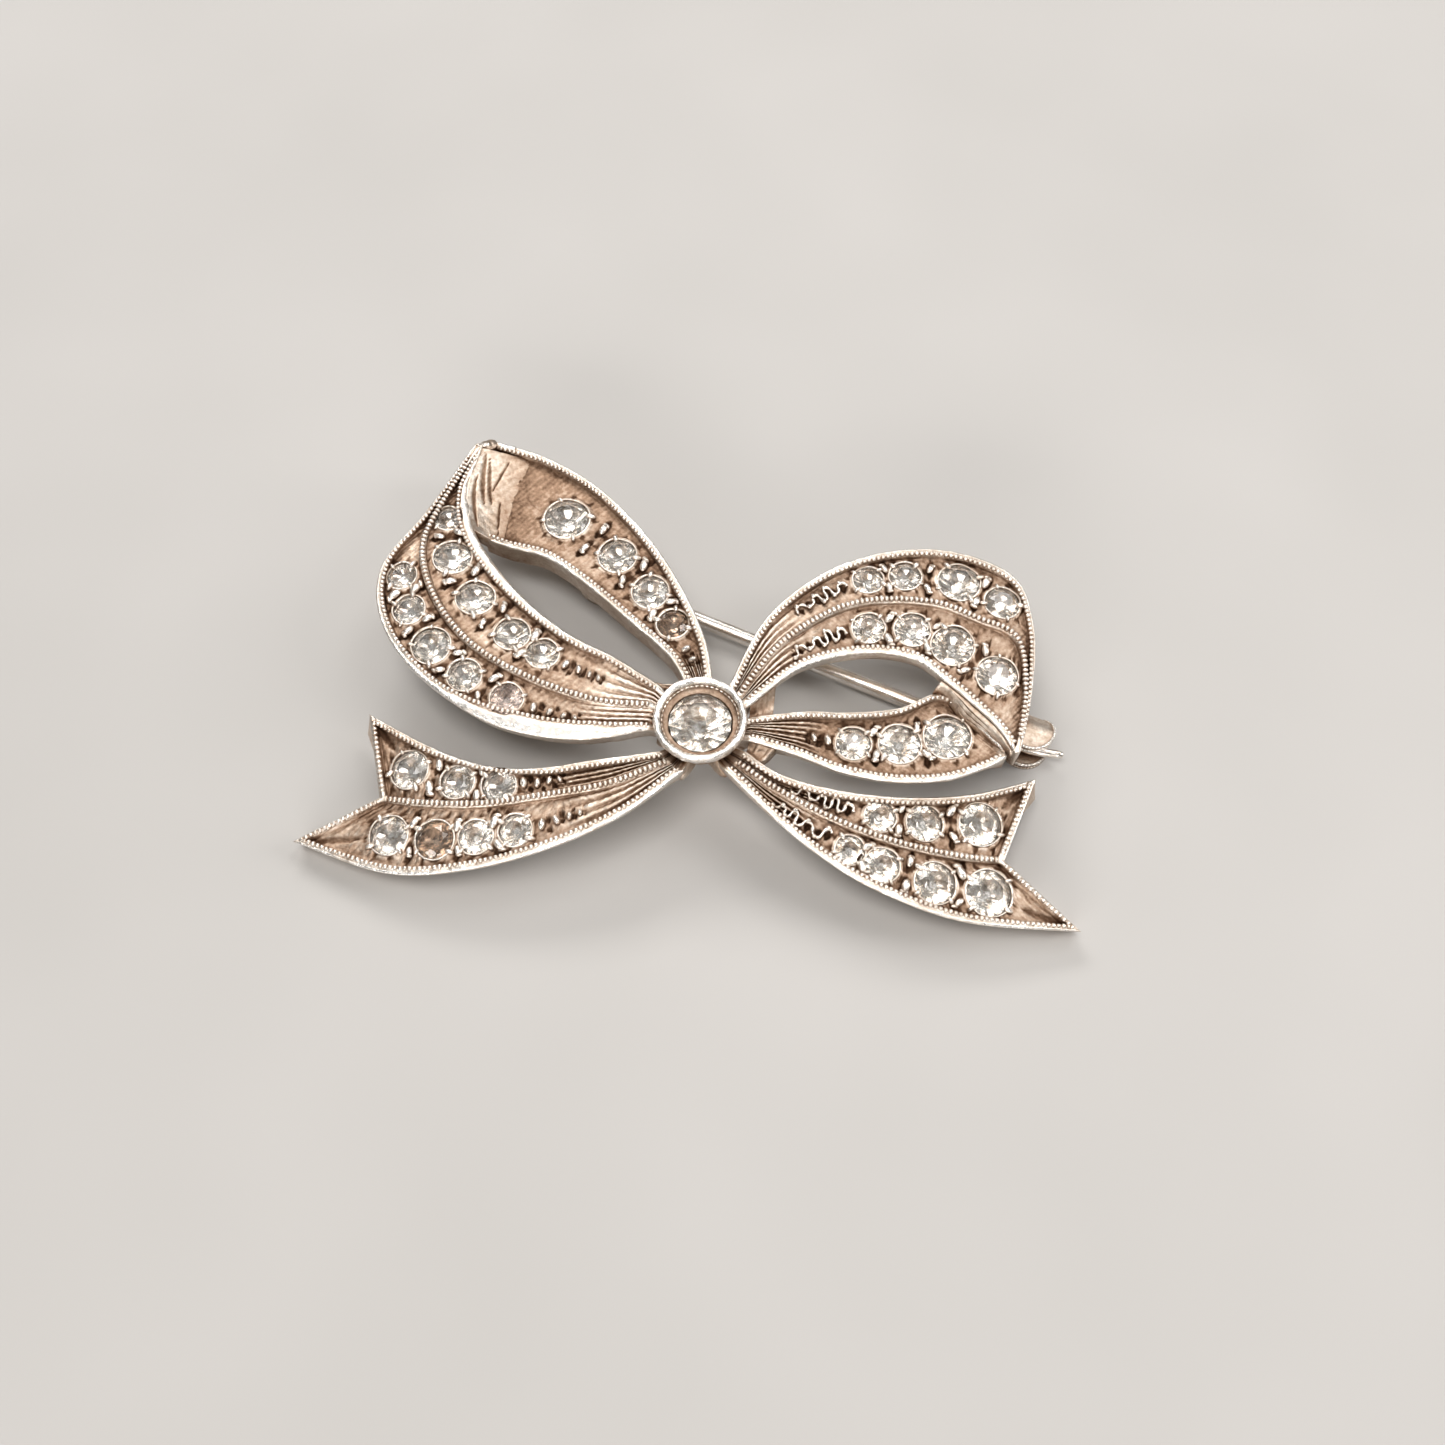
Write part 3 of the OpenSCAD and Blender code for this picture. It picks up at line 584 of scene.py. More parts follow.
def stone_lip(build, stone):
    """The thin lip of metal pushed over a stone's girdle, uneven as handwork is."""
    turn = np.linspace(0, 2 * math.pi, 49)
    uneven = np.sin(3 * turn + stone["s"] * 40) * 0.5 + np.sin(5 * turn + stone["r"] * 9) * 0.5
    r = stone["r"] + 0.055 + 0.015 * uneven
    line = (stone["centre"] + np.cos(turn)[:, None] * r[:, None] * stone["along"]
            + np.sin(turn)[:, None] * r[:, None] * stone["aside"] + stone["up"] * 0.02 * uneven[:, None])
    tube(build, line, stone["up"], 0.07, 0.1 + 0.03 * uneven, 0.1, 6, 1.1)


def outward(stone, turn):
    """The direction across a stone at an angle from its row's direction."""
    return math.cos(turn) * stone["along"] + math.sin(turn) * stone["aside"]


def claws(build, stone, gaps):
    """Grains pushed over a stone's edge at the angles given, from its row's direction."""
    for turn in gaps:
        out = outward(stone, turn)
        size = rng.uniform(0.75, 1.3)
        centre = stone["centre"] + out * (stone["r"] + 0.1) + stone["up"] * 0.03
        aside = stone["aside"] * rng.uniform(-0.4, 0.4)
        bead(build, centre, stone["up"] + out * 0.3, out + aside,
             (0.28 * size, 0.14 * size, 0.18 * size))


def fill_gaps(build, band, stones):
    """Grains and cuts round the stones of each row. Returns the cuts' places."""
    pits = []
    for prefix, *_ in band["rows"]:
        row = [stone for stone in stones if stone["name"].startswith(prefix)]
        for stone in row:
            claws(build, stone, np.array([-0.68, 0.68, math.pi - 0.68, math.pi + 0.68])
                  + rng.uniform(-0.14, 0.14, 4))
            for turn in np.array([-1.2, -0.32, 0.32, 1.2]) + rng.uniform(-0.15, 0.15, 4):
                for end in (0, math.pi):
                    out = outward(stone, turn + end)
                    pits.append((stone["centre"] + out * (stone["r"] + 0.28), out,
                                 rng.uniform(0.2, 0.33)))
        for a, b in zip(row, row[1:]):
            up, along = unit(a["up"] + b["up"]), unit(b["centre"] - a["centre"])
            side_way = np.cross(up, along)
            gap = a["centre"] + along * (a["r"] + (np.linalg.norm(b["centre"] - a["centre"])
                                                 - a["r"] - b["r"]) / 2)
            for way in (-1, 1):
                reach = 0.74 * min(a["r"], b["r"])
                centre = gap + side_way * way * reach + along * rng.uniform(-0.15, 0.15)
                size = rng.uniform(0.75, 1.25)
                lean = side_way + along * rng.uniform(-0.9, 0.9)
                bead(build, centre + up * 0.06, up, lean, (0.4 * size, 0.22 * size, 0.22 * size))
                bead(build, centre + lean * way * 0.3 * size, up, along,
                     (0.26 * size, 0.16 * size, 0.17 * size))
                pits.append((gap + side_way * way * reach * 0.5, side_way, 0.28))
                pits.append((gap + side_way * way * reach * 1.55, side_way, rng.uniform(0.2, 0.3)))
    return pits


def knot_run(build, band, stones):
    """What each row shrinks to towards the knot: grains, or a thread of metal left standing
    that winds between cuts. Returns the cuts' places."""
    pits = []
    for prefix, lane, places, _ in band["rows"]:
        stone = next(x for x in stones if x["name"] == prefix + "1")
        length = np.linalg.norm(lane_point(band["stations"], lane, 0.02)
                                - lane_point(band["stations"], lane, places[0]))
        per = places[0] / length

        def spot(run, aside, lift):
            """A point run millimetres past the first stone, and the directions there."""
            s = stone["s"] - (stone["r"] + run) * per
            up, along = lane_normal(band["stations"], lane, s)
            side_way = np.cross(up[0], along[0])
            centre = lane_point(band["stations"], lane, s)[0] - up[0] * (CHANNEL_DEPTH - lift)
            return centre + side_way * aside, up[0], along[0], side_way

        if band["winding"]:
            turns, seed = rng.uniform(3.3, 4.2), rng.uniform(0, 6)
            share = np.linspace(0, 1, THREAD_POINTS)
            phase = 2 * math.pi * turns * share + 0.8 * np.sin(7 * share + seed)
            swing = (0.38 - 0.18 * share) * (1 + 0.3 * np.sin(11 * share + seed)) * np.sin(phase)
            run = 0.35 + 3.3 * share - 0.06 * np.sin(2 * phase)
            line = np.array([spot(a, b, 0.13)[0] for a, b in zip(run, swing)])
            thin = 0.105 - 0.035 * share + 0.025 * np.sin(3.1 * phase + seed)
            tube(build, line, (0, 0, 1), thin, thin * 1.2, 0.0, 7, 0.9)
            for i in range(2, THREAD_POINTS - 1):
                if abs(swing[i]) > abs(swing[i - 1]) and abs(swing[i]) > abs(swing[i + 1]):
                    way = math.copysign(1, swing[i])
                    centre, _, along, side_way = spot(run[i], swing[i] - way * 0.32, 0.0)
                    pits.append((centre, side_way, 0.26 - 0.08 * share[i]))
                    grain, up, along, side_way = spot(run[i] + 0.1, swing[i] + way * 0.02, 0.16)
                    bead(build, grain, up, along, (0.15, 0.17, 0.16))
        else:
            run = 0.5
            for i in range(4 if band["ribbed"] else 2):
                size = 0.5 * (1 - 0.13 * i) * rng.uniform(0.9, 1.1)
                centre, up, along, side_way = spot(run, rng.uniform(-0.06, 0.06), 0.12)
                bead(build, centre, up, side_way + along * rng.uniform(-0.5, 0.5),
                     (size * 0.75, size * 0.42, size * 0.6))
                for way in (-1, 1):
                    beside = side_way * way * size * rng.uniform(0.3, 0.8)
                    pits.append((centre - along * size * 0.75 + beside,
                                 side_way + along * rng.uniform(-0.8, 0.8),
                                 size * rng.uniform(0.3, 0.5)))
                run += size * 1.55
    return pits


def fold_web(build, near, far, sag, thick, tones, gouges=()):
    """The plain metal where a loop turns over: a sheet from one line to another, with
    gouges of [where they lie across, drift, start, end, half width] as shares of the sheet."""
    across = np.linspace(0, 1, 40)
    top = near[:, None] + (far - near)[:, None] * across[None, :, None]
    top[..., 2] -= sag * np.sin(math.pi * across)
    top[..., 2] += wobble(top, 1.8, 3.0) * 0.03
    # The sheet is painted from the tone tones[0] at the near line to tones[1] at the far line, varied at
    # random.
    tone = tones[0] + (tones[1] - tones[0]) * across + 0.14 * wobble(top, 0.9, 5.0)
    t = np.linspace(0, 1, len(near))[:, None]
    for place, drift, start, end, wide in gouges:
        run = np.clip((t - start) / (end - start), 0, 1)
        half = wide * np.sin(math.pi * run) ** 0.8 + 1e-4
        dent = groove_depth((across[None, :] - place - drift * run) / half, run)
        top[..., 2] -= 0.13 * dent
        # Tarnish and painted shade: the gouges are painted dark.
        tone += 0.9 * dent
    under = top[:, ::-1] - [0, 0, thick]
    loop = np.concatenate([top, under], axis=1)
    rows, cols = loop.shape[:2]
    faces = ring_faces(rows, cols)
    for row in (0, rows - 1):
        cap = [[j, j + 1, cols - 2 - j, cols - 1 - j] for j in range(len(across) - 1)]
        faces += [[row * cols + k for k in (f if row else f[::-1])] for f in cap]
    # Painted shade: the sheet's underside is painted dark.
    build.add(loop, faces, np.concatenate([tone, np.full_like(tone, 0.9)], axis=1))


def fold(build, name):
    """Joins a return band to the front band that it turns into."""
    t = np.linspace(0, 1, 60)
    if name == "left_loop_return":
        section = curve(LEFT_RETURN, np.array([0.87]))[0]
        floor = curve(section, 0.05 + 0.9 * t) - [0, 0, 0.44]
        inner = side(LEFT_FRONT, 2, 1 - 0.3 * t) - [0.1, 0, 0.16]
        # Painted shade inside the fold: the web is darker towards the return's floor, lighter towards the
        # front band's edge.
        fold_web(build, floor, inner, 0.1, 1.2, (1.15, 0.5), (
            (0.9, -0.3, 0.05, 0.62, 0.05), (0.78, -0.34, 0.12, 0.6, 0.04),
            (0.88, -0.1, 0.3, 0.95, 0.045), (0.4, 0.1, 0.1, 0.45, 0.03),
            (0.3, -0.1, 0.5, 0.9, 0.025)))
        rim = side(LEFT_RETURN, 0, [0.92, 0.95, 0.98]) - [-0.05, 0.17, 0.12]
        rim = np.concatenate([rim, [[-16.7, 18.0, 4.8], [-17.05, 17.7, 5.05]]])
        tube(build, curve(rim, t), (0, 0, 1), 0.2, 0.16, 0.05, 10)
        # Three posts close the corner behind the peak
        for x, y in ((-16.3, 18.12), (-16.6, 17.95), (-16.88, 17.68)):
            post = np.array([[x, y, 4.85], [x, y, 4.0], [x - 0.02, y - 0.12, 3.22]])
            tube(build, curve(post, t), (1, 0.6, 0), 0.4, 0.42, 0.6, 12, 0.55)
    elif name == "right_loop_return":
        upper, middle = (side(RIGHT_RETURN, k, 0.63 + 0.37 * t) for k in (0, 1))
        upper += (middle - upper) * (0.45 * step(t, 0.05, 0.4))[:, None]
        upper[:, 2] -= 0.1 + 0.34 * step(t, 0.1, 0.4) * (1 - step(t, 0.8, 1))
        inner = side(RIGHT_FRONT, 2, 0.56 + 0.44 * t)
        # Painted shade in the fold: the web is darker along the return's edge than at the front band's
        # edge.
        fold_web(build, upper, inner - [0, 0, 0.3], -0.22, 1.2, (0.8, 0.5), (
            (0.75, -0.2, 0.1, 0.7, 0.03), (0.45, -0.1, 0.2, 0.8, 0.025),
            (0.2, 0.1, 0.3, 0.9, 0.03)))


def tip_gouges(points, shade, band, stones):
    """One long cut from the last stone of each row of a tail out to the tail's points."""
    for prefix, lane, *_ in band["rows"]:
        last = [stone for stone in stones if stone["name"].startswith(prefix)][-1]
        tip = np.array(band["stations"][-1][2 if lane else 0], float)
        way = unit((tip - last["centre"]) * [1, 1, 0])
        start = last["centre"] + way * (last["r"] + 0.5)
        reach = np.linalg.norm((tip - start)[:2]) - 1.1
        q = points - start
        along = q @ way
        across = np.abs(q[..., 0] * -way[1] + q[..., 1] * way[0])
        run = np.clip(along / reach, 0, 1)
        dip = groove_depth(across / (0.05 + 0.2 * np.sin(math.pi * run)), run)
        points[..., 2] -= 0.14 * dip
        # Tarnish and painted shade: the cut is painted dark.
        shade += 0.7 * dip


def make_band(name, band, material):
    build = Builder()
    stones = stones_of(band)
    s = even_places(band["stations"], ROW_PITCH)
    points, shade, flat = top_surface(band, s)
    pits = fill_gaps(build, band, stones) + knot_run(build, band, stones)
    drill(points, shade, pits)
    if band["end_rim"]:
        tip_gouges(points, shade, band, stones)
    cut_seats(points, shade, stones)
    whole, tone = inward_rows(points, shade)
    under, _ = inward_rows(flat, shade)
    places = np.concatenate([np.zeros(len(whole) - len(s)), s])
    band_shell(build, band, places, whole, tone, under)
    milled_edges(build, band)
    fold(build, name)
    for stone in stones:
        stone_lip(build, stone)
    made = build.piece(name, material)
    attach(made, "brooch")
    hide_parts(band["node"])
    return stones


# ---- stones ----

def brilliant(r):
    """An old-cut brilliant of 58 facets: points, faces and True for each face of the pavilion."""
    table, star_r, low_r, culet = 0.56, 0.8, 0.26, 0.2
    crown, pavilion, belt = 0.34, 0.82, 0.025
    slant = math.cos(math.pi / 8)
    star_z = crown * (1 - star_r * slant) / (1 - table)
    low_z, culet_z = (-pavilion * (1 - edge * slant) for edge in (low_r, culet))

    def ring(radius, z, count, phase):
        return [[radius * math.cos((i + phase) * 2 * math.pi / count),
                 radius * math.sin((i + phase) * 2 * math.pi / count), z] for i in range(count)]

    points = (ring(table, crown, 8, 0) + ring(star_r, star_z, 8, 0.5) + ring(1, belt, 16, 0)
              + ring(1, -belt, 16, 0) + ring(low_r, low_z, 8, 0.5) + ring(culet, culet_z, 8, 0.5))
    T, S, G, L, C = 0, 8, 16, 48, 56      # the rings' first points: table, star, girdle, lower, culet
    faces, foil = [list(range(8)), list(range(C, C + 8))], [False, True]
    for i in range(8):
        j, before = (i + 1) % 8, (i + 7) % 8
        g, h, k = G + 2 * i, G + 2 * i + 1, G + (2 * i + 2) % 16
        faces += [[T + i, S + i, T + j], [T + i, S + before, g, S + i], [S + i, g, h], [S + i, h, k],
                  [g, g + 16, h + 16, h], [h, h + 16, k + 16, k],
                  [L + i, h + 16, g + 16], [L + i, k + 16, h + 16],
                  [C + i, L + i, g + 16, L + before, C + before]]
        foil += [False] * 6 + [True] * 3
    return np.array(points) * r, faces, foil


def make_stone(node, centre, up, r, glass, foil_metal, lean=0.05):
    """A stone turned and leaning a little in its seat: glass in front, foil behind."""
    points, faces, foil = brilliant(r)
    turn = Matrix.Rotation(rng.uniform(0, math.pi / 4), 4, "Z")
    tip = Matrix.Rotation(rng.uniform(-lean, lean), 4, "X")
    tip = tip @ Matrix.Rotation(rng.uniform(-lean, lean), 4, "Y")
    facing = Vector(up).to_track_quat("Z", "Y").to_matrix().to_4x4()
    spin = np.array((facing @ tip @ turn).to_3x3())
    build = Builder()
    build.add(points @ spin.T + centre, faces, 0.0)
    made = build.piece(node + "_cut", glass, smooth=False)
    made.data.materials.append(foil_metal)
    made.data.polygons.foreach_set("material_index", [int(f) for f in foil])
    bm = bmesh.new()
    bm.from_mesh(made.data)
    bmesh.ops.recalc_face_normals(bm, faces=bm.faces)
    bm.to_mesh(made.data)
    bm.free()
    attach(made, "brooch")
    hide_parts(node)
    return made


# ---- knot ----

# Solder between the bands where they run in under the collet: [band, its edge, next band,
# its edge, how far along both].
SOLDER = [["right_loop_front", 2, "right_loop_return", 0, 0.08],
          ["right_loop_return", 2, "right_tail_ribbon", 0, 0.1],
          ["left_loop_front", 2, "left_loop_return", 2, 0.03]]


def lathe(build, profile, sides, tone, wander):
    """Turns a closed profile of [radius, height] round the knot's axis."""
    turn = np.arange(sides) * 2 * math.pi / sides
    r, z = (profile[:, [k]] + 0 * turn for k in (0, 1))
    grid = np.stack([r * np.cos(turn), r * np.sin(turn), z], axis=-1)
    shift = wobble(grid, 1.6, 4.0) * wander
    grid[..., :2] *= (1 + shift / np.maximum(r, 0.4))[..., None]
    grid[..., 2] += wobble(grid, 1.3, 8.0) * wander * 0.6
    build.add(grid, ring_faces(len(profile), sides), np.repeat(tone, sides))


def make_setting(material):
    build = Builder()
    top, r = COLLET_TOP, COLLET_R
    # [radius, how far below the top], up the outside and down the inside
    outline = [[0.9, 3.1], [1.4, 3.0], [1.9, 1.9], [2.3, 1.25], [r - 0.18, 0.8], [r - 0.05, 0.45],
               [r - 0.04, 0.2], [r - 0.14, 0.03], [r - 0.3, 0.03], [r - 0.42, 0.16], [r - 0.47, 0.42],
               [r - 0.55, 0.62], [r - 0.72, 0.7], [1.92, 0.72], [1.86, 0.8], [1.8, 1.1], [1.0, 2.0],
               [0.05, 2.3]]
    count = 90
    profile = curve([[radius, top - drop] for radius, drop in outline], np.linspace(0, 1, count))
    height = profile[:, 1] - top
    inside = np.arange(count) > count / 2
    # Tarnish and painted shade: the collet darkens down its outside and deeper into its seat.
    tone = np.where(inside, step(-height, 0.1, 0.6), step(-height, 0.25, 1.2) * 0.9)
    lathe(build, profile, 160, tone, 0.03)
    turn = np.linspace(0, 2 * math.pi, 161)
    for radius, drop, size in ((r - 0.1, 0.3, 0.07), (r - 0.5, 0.42, 0.06)):
        line = np.stack([radius * np.cos(turn), radius * np.sin(turn), 0 * turn + top - drop], axis=1)
        out = np.stack([np.cos(turn), np.sin(turn), 0 * turn + 0.6], axis=1)
        beaded_edge(build, line, out if radius > r - 0.3 else out * [-1, -1, 1], size, size)
    made = build.piece("centre_setting", material)
    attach(made, "brooch")
    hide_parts("centre_collet")


def make_knot(material):
    """The hub and its arms under the collet, flowed over with solder."""
    build = Builder()
    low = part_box("knot_plate")[0].z / MM
    sides, hub_r = 96, 1.35
    turn = np.arange(sides) * 2 * math.pi / sides
    arms = []
    for band in BANDS.values():
        first = np.array(band["stations"][0], float)
        arms.append((math.atan2(*first[[0, 2], :2].mean(axis=0)[::-1]),
                     np.linalg.norm(first[0, :2] - first[2, :2]) / 2))
    reach = np.full(sides, hub_r)
    for angle, half in arms:
        away = np.abs((turn - angle + math.pi) % (2 * math.pi) - math.pi)
        arm = 1 - step(away, half / 2.9 - 0.1, half / 2.9 + 0.15)
        reach = np.maximum(reach, hub_r + 1.3 * arm)
    profile = ((0.02, 0.0), (0.85, 0.0), (0.97, 0.06), (1.0, 0.2), (0.97, 0.5), (0.8, 0.8), (0.65, 1.2),
               (0.6, 1.6), (0.02, 1.7))
    grid = np.array([np.stack([reach * share * np.cos(turn), reach * share * np.sin(turn),
                               0 * turn + low + z], axis=1) for share, z in profile])
    grid[..., 2] += wobble(grid, 0.8, 9.0) * 0.05
    grid[..., 2] = np.maximum(grid[..., 2], low)
    build.add(grid, ring_faces(len(profile), sides), 0.75)
    for band, edge, beside, other, reach in SOLDER:
        s = np.linspace(0, reach, 20)
        near = side(BANDS[band]["stations"], edge, s) - [0, 0, 0.25]
        far = side(BANDS[beside]["stations"], other, s) - [0, 0, 0.25]
        lumps = 0.1 * wobble(near, 0.9, 2.0)[:, None] * [0, 0, 1]
        fold_web(build, near + lumps, far + lumps, 0.3, 0.6, (0.8, 0.75))
    made = build.piece("knot_hub", material)
    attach(made, "brooch")
    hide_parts("knot_plate")


# ---- hinge, pin and catch ----

def merged(mesh):
    """A mesh's bmesh, its vertices joined."""
    bm = bmesh.new()
    bm.from_mesh(mesh)
    bmesh.ops.remove_doubles(bm, verts=bm.verts, dist=1e-6)
    return bm


def sharp_edges(bm):
    return [e for e in bm.edges if len(e.link_faces) == 2 and e.calc_face_angle() > SHARP]


def softened(node, name, width, material, body, tarnish=0.35):
    """A copy of a CAD node with its sharp edges rounded."""
    mesh = frame["nodes"][node].data.copy()
    mesh.name = name
    bm = merged(mesh)
    bmesh.ops.dissolve_limit(bm, angle_limit=math.radians(1), verts=bm.verts, edges=bm.edges)
    bmesh.ops.bevel(bm, geom=sharp_edges(bm), offset=width * MM, segments=3, profile=0.5,
                    affect="EDGES", clamp_overlap=True)
    for f in bm.faces:
        f.smooth = True
    bm.to_mesh(mesh)
    bm.free()
    mesh.materials.clear()
    mesh.materials.append(material)
    level = np.empty(len(mesh.vertices) * 3, np.float32)
    mesh.vertices.foreach_get("co", level)
    tone = tarnish + 0.2 * wobble(level.reshape(-1, 3) / MM, 1.2, 5.0)
    mesh.attributes.new("cavity", "FLOAT", "POINT").data.foreach_set("value", tone.astype(np.float32))
    made = in_scene(name, mesh)
    made.modifiers.new("normals", "WEIGHTED_NORMAL").keep_sharp = True
    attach(made, body)
    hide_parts(node)


def edge_wires(node, name, size, material, body):
    """Bright worn lines along a CAD node's sharp edges."""
    build = Builder()
    bm = merged(frame["nodes"][node].data)
    where = np.array(frame["nodes"][node].matrix_world)
    for edge in sharp_edges(bm):
        ends = np.array([list(v.co) + [1] for v in edge.verts]) @ where.T
        path = (ends[:, :3] - KNOT) / MM
        path = np.stack([path[0], path.mean(axis=0), path[1]])
        tube(build, path, [0.1, 0.2, 1], size, size, 0.0, 6, 0.1)
    bm.free()
    made = build.piece(name, material)
    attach(made, body)
    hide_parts(node)


def make_pin(material):
    """The pin's wire: drawn round, tapering to a point that is bent a little."""
    build = Builder()
    stem_low, stem_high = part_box("pin_stem")
    wire_r = (stem_high.z - stem_low.z) / 2 / MM
    # Where the wire starts, begins to taper and ends, from the rivet's axis
    start, shank, end = 1.52, 26.4, 31.0
    x = np.concatenate([start + np.array([0.02, 0.05, 0.1]), np.linspace(start + 0.2, shank, 60),
                        np.linspace(shank + 0.2, end - 0.1, 40), [end - 0.04, end - 0.01]])
    r = np.interp(x, [start, start + 0.1, shank, end - 0.25, end - 0.08, end - 0.01],
                  [wire_r - 0.08, wire_r, wire_r, 0.25, 0.19, 0.06])
    x[-1] = end - 0.02
    bend = 0.5 * step(x, shank + 2.2, end + 0.6) ** 1.3
    path = np.stack([x, bend, PIN_Z + 0 * x], axis=1)
    tube(build, path, (0, 0, 1), r, r, 0.2, 24, 0.55)
    made = build.piece("pin_wire", material, origin=np.zeros(3))
    made.matrix_world = Matrix.Translation(Vector(HINGE)) @ Matrix.Rotation(PIN_ANGLE, 4, "Z")
    bpy.context.view_layer.update()
    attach(made, "pin")
    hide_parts("pin_stem")


# ---- materials ----

class Nodes:
    """Short calls for building a material's nodes."""

    def __init__(self, name):
        self.material = bpy.data.materials.new(name)
        self.material.use_nodes = True
        self.tree = self.material.node_tree
        self.shader = self.tree.nodes["Principled BSDF"]

    def node(self, kind, **settings):
        made = self.tree.nodes.new(kind)
        for key, value in settings.items():
            if hasattr(made, key):
                setattr(made, key, value)
            else:
                made.inputs[key.replace("_", " ")].default_value = value
        return made

    def link(self, source, target):
        self.tree.links.new(source, target)

    def drive(self, name, source):
        self.link(source, self.shader.inputs[name])

    def set(self, **values):
        for key, value in values.items():
            self.shader.inputs[key.replace("_", " ")].default_value = value

    def maths(self, operation, a, b, clamp=False):
        made = self.node("ShaderNodeMath", operation=operation)
        made.use_clamp = clamp
        for socket, value in zip(made.inputs, (a, b)):
            if isinstance(value, (int, float)):
                socket.default_value = value
            else:
                self.link(value, socket)
        return made.outputs[0]

    def scaled(self, value, times, plus):
        return self.maths("ADD", self.maths("MULTIPLY", value, times), plus)

    def swayed(self, base, value, middle, times, clamp=False):
        """The base plus how far a value is from its middle."""
        away = self.maths("MULTIPLY", self.maths("SUBTRACT", value, middle), times)
        return self.maths("ADD", base, away, clamp)

    def noise(self, size, detail, roughness=0.6, stretch=None):
        """Noise with lumps of about size millimetres, in object space."""
        place = self.node("ShaderNodeTexCoord").outputs["Object"]
        if stretch:
            mapping = self.node("ShaderNodeMapping")
            mapping.inputs["Scale"].default_value = stretch
            self.link(place, mapping.inputs["Vector"])
            place = mapping.outputs["Vector"]
        made = self.node("ShaderNodeTexNoise", Scale=1 / (size * MM), Detail=detail, Roughness=roughness)
        self.link(place, made.inputs["Vector"])
        return made.outputs["Fac"]

    def ramp(self, value, stops):
        made = self.node("ShaderNodeValToRGB")
        elements = made.color_ramp.elements
        while len(elements) < len(stops):
            elements.new(0.5)
        for element, (place, colour) in zip(elements, stops):
            element.position = place
            element.color = (*colour, 1.0)
        self.link(value, made.inputs["Fac"])
        return made.outputs["Color"]

    def bump(self, height, distance, strength):
        made = self.node("ShaderNodeBump", Strength=strength, Distance=distance * MM)
        self.link(height, made.inputs["Height"])
        self.link(made.outputs["Normal"], self.shader.inputs["Normal"])


def silver_material():
    n = Nodes("aged_silver")
    cavity = n.node("ShaderNodeAttribute", attribute_name="cavity").outputs["Fac"]
    # Painted shade: ambient occlusion darkens the colour where little light reaches, on top of the
    # per-vertex tarnish and painted shade.
    shade = n.node("ShaderNodeAmbientOcclusion", samples=6)
    shade.inputs["Distance"].default_value = 0.6 * MM
    hidden = n.maths("SUBTRACT", 1.0, shade.outputs["AO"])
    patches = n.noise(1.3, 5.0, 0.65)
    specks = n.noise(0.2, 3.0, 0.6)
    tarnish_and_shade = n.maths("ADD", n.maths("MULTIPLY", cavity, 0.5), n.maths("MULTIPLY", hidden, 0.8))
    tarnish_and_shade = n.swayed(tarnish_and_shade, patches, 0.5, 0.55)
    tarnish_and_shade = n.swayed(tarnish_and_shade, n.noise(4.5, 2.0), 0.48, 0.5)
    tarnish_and_shade = n.swayed(tarnish_and_shade, specks, 0.5, 0.45, True)
    n.drive("Base Color", n.ramp(tarnish_and_shade, [
        (0.0, (0.97, 0.94, 0.9)), (0.18, (0.84, 0.765, 0.68)), (0.4, (0.58, 0.465, 0.368)),
        (0.68, (0.335, 0.22, 0.148)), (1.0, (0.09, 0.048, 0.028))]))
    rough = n.scaled(tarnish_and_shade, 0.3, 0.22)
    rough = n.maths("ADD", rough, n.maths("MULTIPLY", n.noise(0.4, 3.0), 0.1), True)
    n.drive("Roughness", rough)
    n.set(Metallic=1.0)
    scratches, dents = n.noise(0.09, 4.0, 0.7), n.noise(0.45, 3.0, 0.5)
    n.bump(n.scaled(scratches, 0.35, dents), 0.08, 0.8)
    return n.material


def wire_material():
    n = Nodes("drawn_wire")
    lines = n.noise(0.12, 5.0, 0.7, (0.02, 1.0, 1.0))
    patches = n.noise(0.9, 4.0)
    tone = n.maths("ADD", n.maths("MULTIPLY", lines, 0.6), n.maths("MULTIPLY", patches, 0.4), True)
    n.drive("Base Color", n.ramp(tone, [
        (0.3, (0.4, 0.32, 0.26)), (0.45, (0.78, 0.71, 0.63)), (0.6, (0.97, 0.94, 0.9))]))
    n.drive("Roughness", n.scaled(patches, 0.2, 0.14))
    n.set(Metallic=1.0)
    n.bump(lines, 0.03, 0.6)
    return n.material


def glass_material(name, colour, dull):
    n = Nodes(name)
    n.set(Transmission_Weight=1.0, IOR=1.53)
    n.shader.inputs["Base Color"].default_value = (*colour, 1.0)
    wear = n.noise(0.35, 5.0, 0.7)
    n.drive("Roughness", n.maths("MULTIPLY", wear, dull, True))
    return n.material


def foil_material(name, clean, aged, spread):
    n = Nodes(name)
    patches = n.noise(0.45, 4.0, 0.65)
    n.drive("Base Color", n.ramp(patches, [(0.5 - spread, aged), (0.5 + spread * 0.3, clean)]))
    n.drive("Roughness", n.scaled(patches, 0.2, 0.08))
    n.set(Metallic=0.88)
    return n.material


def floor_material():
    n = Nodes("pale_floor")
    n.drive("Base Color", n.ramp(n.noise(30.0, 2.0), [
        (0.3, (0.44, 0.427, 0.41)), (0.7, (0.47, 0.456, 0.44))]))
    n.set(Roughness=0.85)
    return n.material


# ---- studio ----

WARM = (1.0, 0.98, 0.96)
SKY_STRENGTH = 0.22
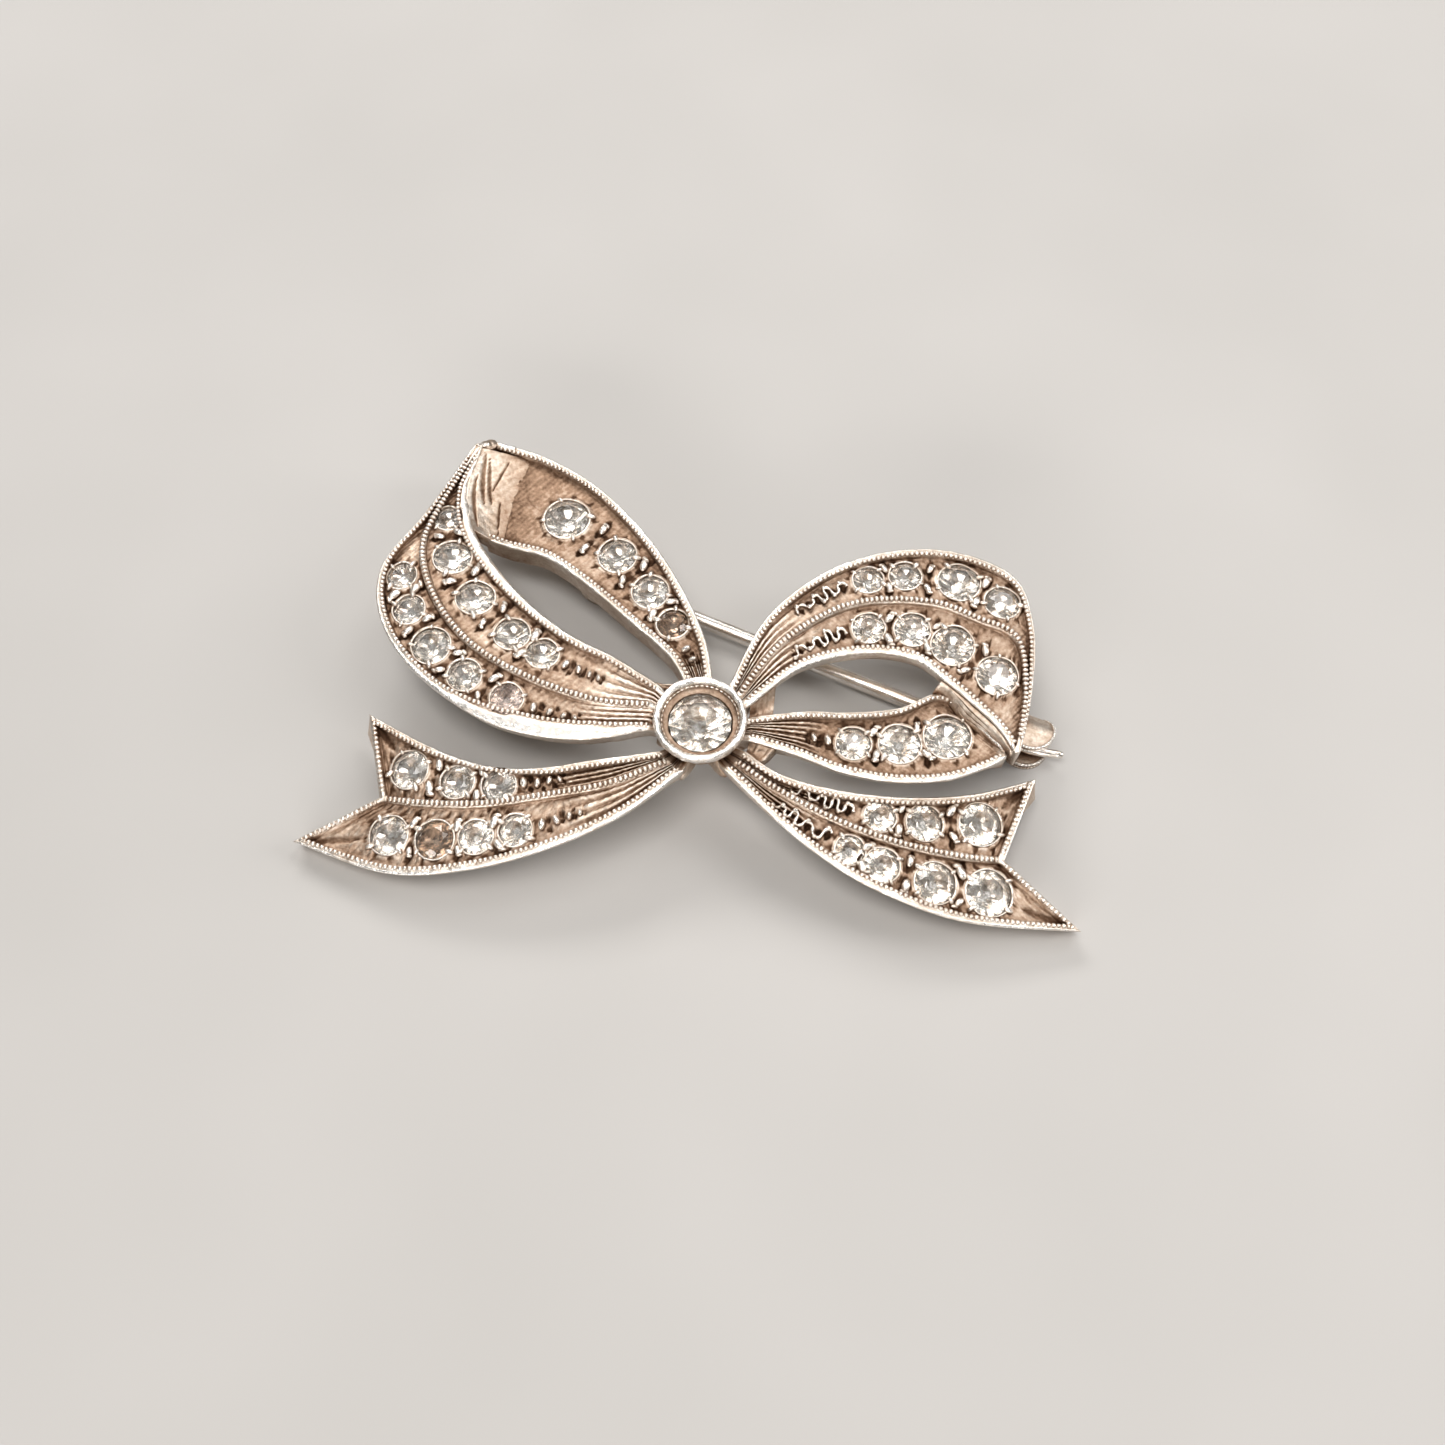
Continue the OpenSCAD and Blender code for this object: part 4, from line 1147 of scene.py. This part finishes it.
# Each light's name, place in millimetres, size in millimetres, power and colour
SOFTBOXES = [
    ("overhead", (-30, -60, 330), (200, 110), 0.62, WARM),
    ("back", (-110, 210, 190), (200, 70), 0.46, WARM),
    ("front", (-30, -260, 100), (240, 50), 0.4, (1.0, 0.97, 0.94)),
    ("high_right", (110, 150, 270), (130, 130), 0.25, WARM),
    ("side", (250, 40, 130), (70, 200), 0.34, (1.0, 0.98, 0.97))]
FLOOR_HALF = 600
LENS = 36.1
CAMERA_PLACE, CAMERA_TARGET = (6.283, -40.191, 80.839), (0.807, -1.23, 0.0)


def aim(made, place, target):
    made.location = Vector(place) * MM
    made.rotation_euler = (Vector(target) - Vector(place)).to_track_quat("-Z", "Y").to_euler()


def softbox(name, place, size, power, colour):
    light = bpy.data.lights.new(name, "AREA")
    light.shape = "RECTANGLE"
    light.size, light.size_y = size[0] * MM, size[1] * MM
    light.energy = power
    light.color = colour
    aim(in_scene(name, light), place, (0, 0, 0))


def studio():
    corners = [(x * FLOOR_HALF * MM, y * FLOOR_HALF * MM, FLOOR_Z)
               for x, y in ((-1, -1), (1, -1), (1, 1), (-1, 1))]
    mesh = bpy.data.meshes.new("floor")
    mesh.from_pydata(corners, [], [(0, 1, 2, 3)])
    mesh.materials.append(floor_material())
    floor = in_scene("floor", mesh)
    world = bpy.data.worlds.new("studio")
    world.use_nodes = True
    sky = world.node_tree.nodes["Background"].inputs
    sky["Color"].default_value = (*WARM, 1.0)
    sky["Strength"].default_value = SKY_STRENGTH
    bpy.context.scene.world = world
    bpy.context.scene.view_settings.view_transform = "Standard"
    for facts in SOFTBOXES:
        softbox(*facts)
    camera = in_scene("camera", bpy.data.cameras.new("camera"))
    camera.data.sensor_width = 36
    camera.data.lens = LENS
    camera.data.clip_start, camera.data.clip_end = 1 * MM, 5000 * MM
    aim(camera, CAMERA_PLACE, CAMERA_TARGET)
    bpy.context.scene.camera = camera


# ---- the brooch ----

silver = silver_material()
wire = wire_material()
FINISHES = {
    "paste": (glass_material("paste_clear", (0.99, 0.985, 0.97), 0.07),
              foil_material("foil_bright", (0.9, 0.885, 0.86), (0.56, 0.48, 0.4), 0.14)),
    "paste_smoky": (glass_material("paste_smoke", (0.86, 0.78, 0.7), 0.12),
                    foil_material("foil_dark", (0.62, 0.54, 0.47), (0.26, 0.19, 0.15), 0.2)),
    "paste_dull": (glass_material("paste_cloud", (0.95, 0.9, 0.87), 0.5),
                   foil_material("foil_cloudy", (0.86, 0.79, 0.75), (0.64, 0.55, 0.5), 0.2))}
SLOT_OF = {part["node"]: part["material_slot"] for part in frame["record"]["subparts"]}

for band_name, band_facts in BANDS.items():
    for gem in make_band(band_name, band_facts, silver):
        finish = SLOT_OF.get(gem["name"], "paste")
        cut = make_stone(gem["name"], gem["centre"], gem["up"], gem["r"] - SEAT_GAP, *FINISHES[finish])

gem_low, gem_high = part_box("centre_stone")
gem_r = (gem_high.x - gem_low.x) / 2 / MM
cut = make_stone("centre_stone", np.array([0, 0, COLLET_TOP - 0.75]), (0, 0, 1), gem_r - SEAT_GAP,
                 *FINISHES["paste"], lean=0.03)
make_setting(silver)
make_knot(silver)

for cad_node, piece_name, rounding, tarnish in (
        ("hinge_plate", "hinge_base", 0.08, 0.5), ("hinge_ear_upper", "hinge_lug_upper", 0.07, 0.35),
        ("hinge_ear_lower", "hinge_lug_lower", 0.07, 0.35), ("hinge_rivet", "hinge_pin", 0.03, 0.3),
        ("catch_plate", "catch_tab", 0.08, 0.8), ("catch_hook", "catch_loop", 0.05, 0.75)):
    softened(cad_node, piece_name, rounding, silver, "brooch", tarnish)
edge_wires("catch_hook", "catch_rim", 0.09, silver, "brooch")
softened("pin_knuckle", "pin_eye", 0.07, wire, "knuckle")
make_pin(wire)

studio()
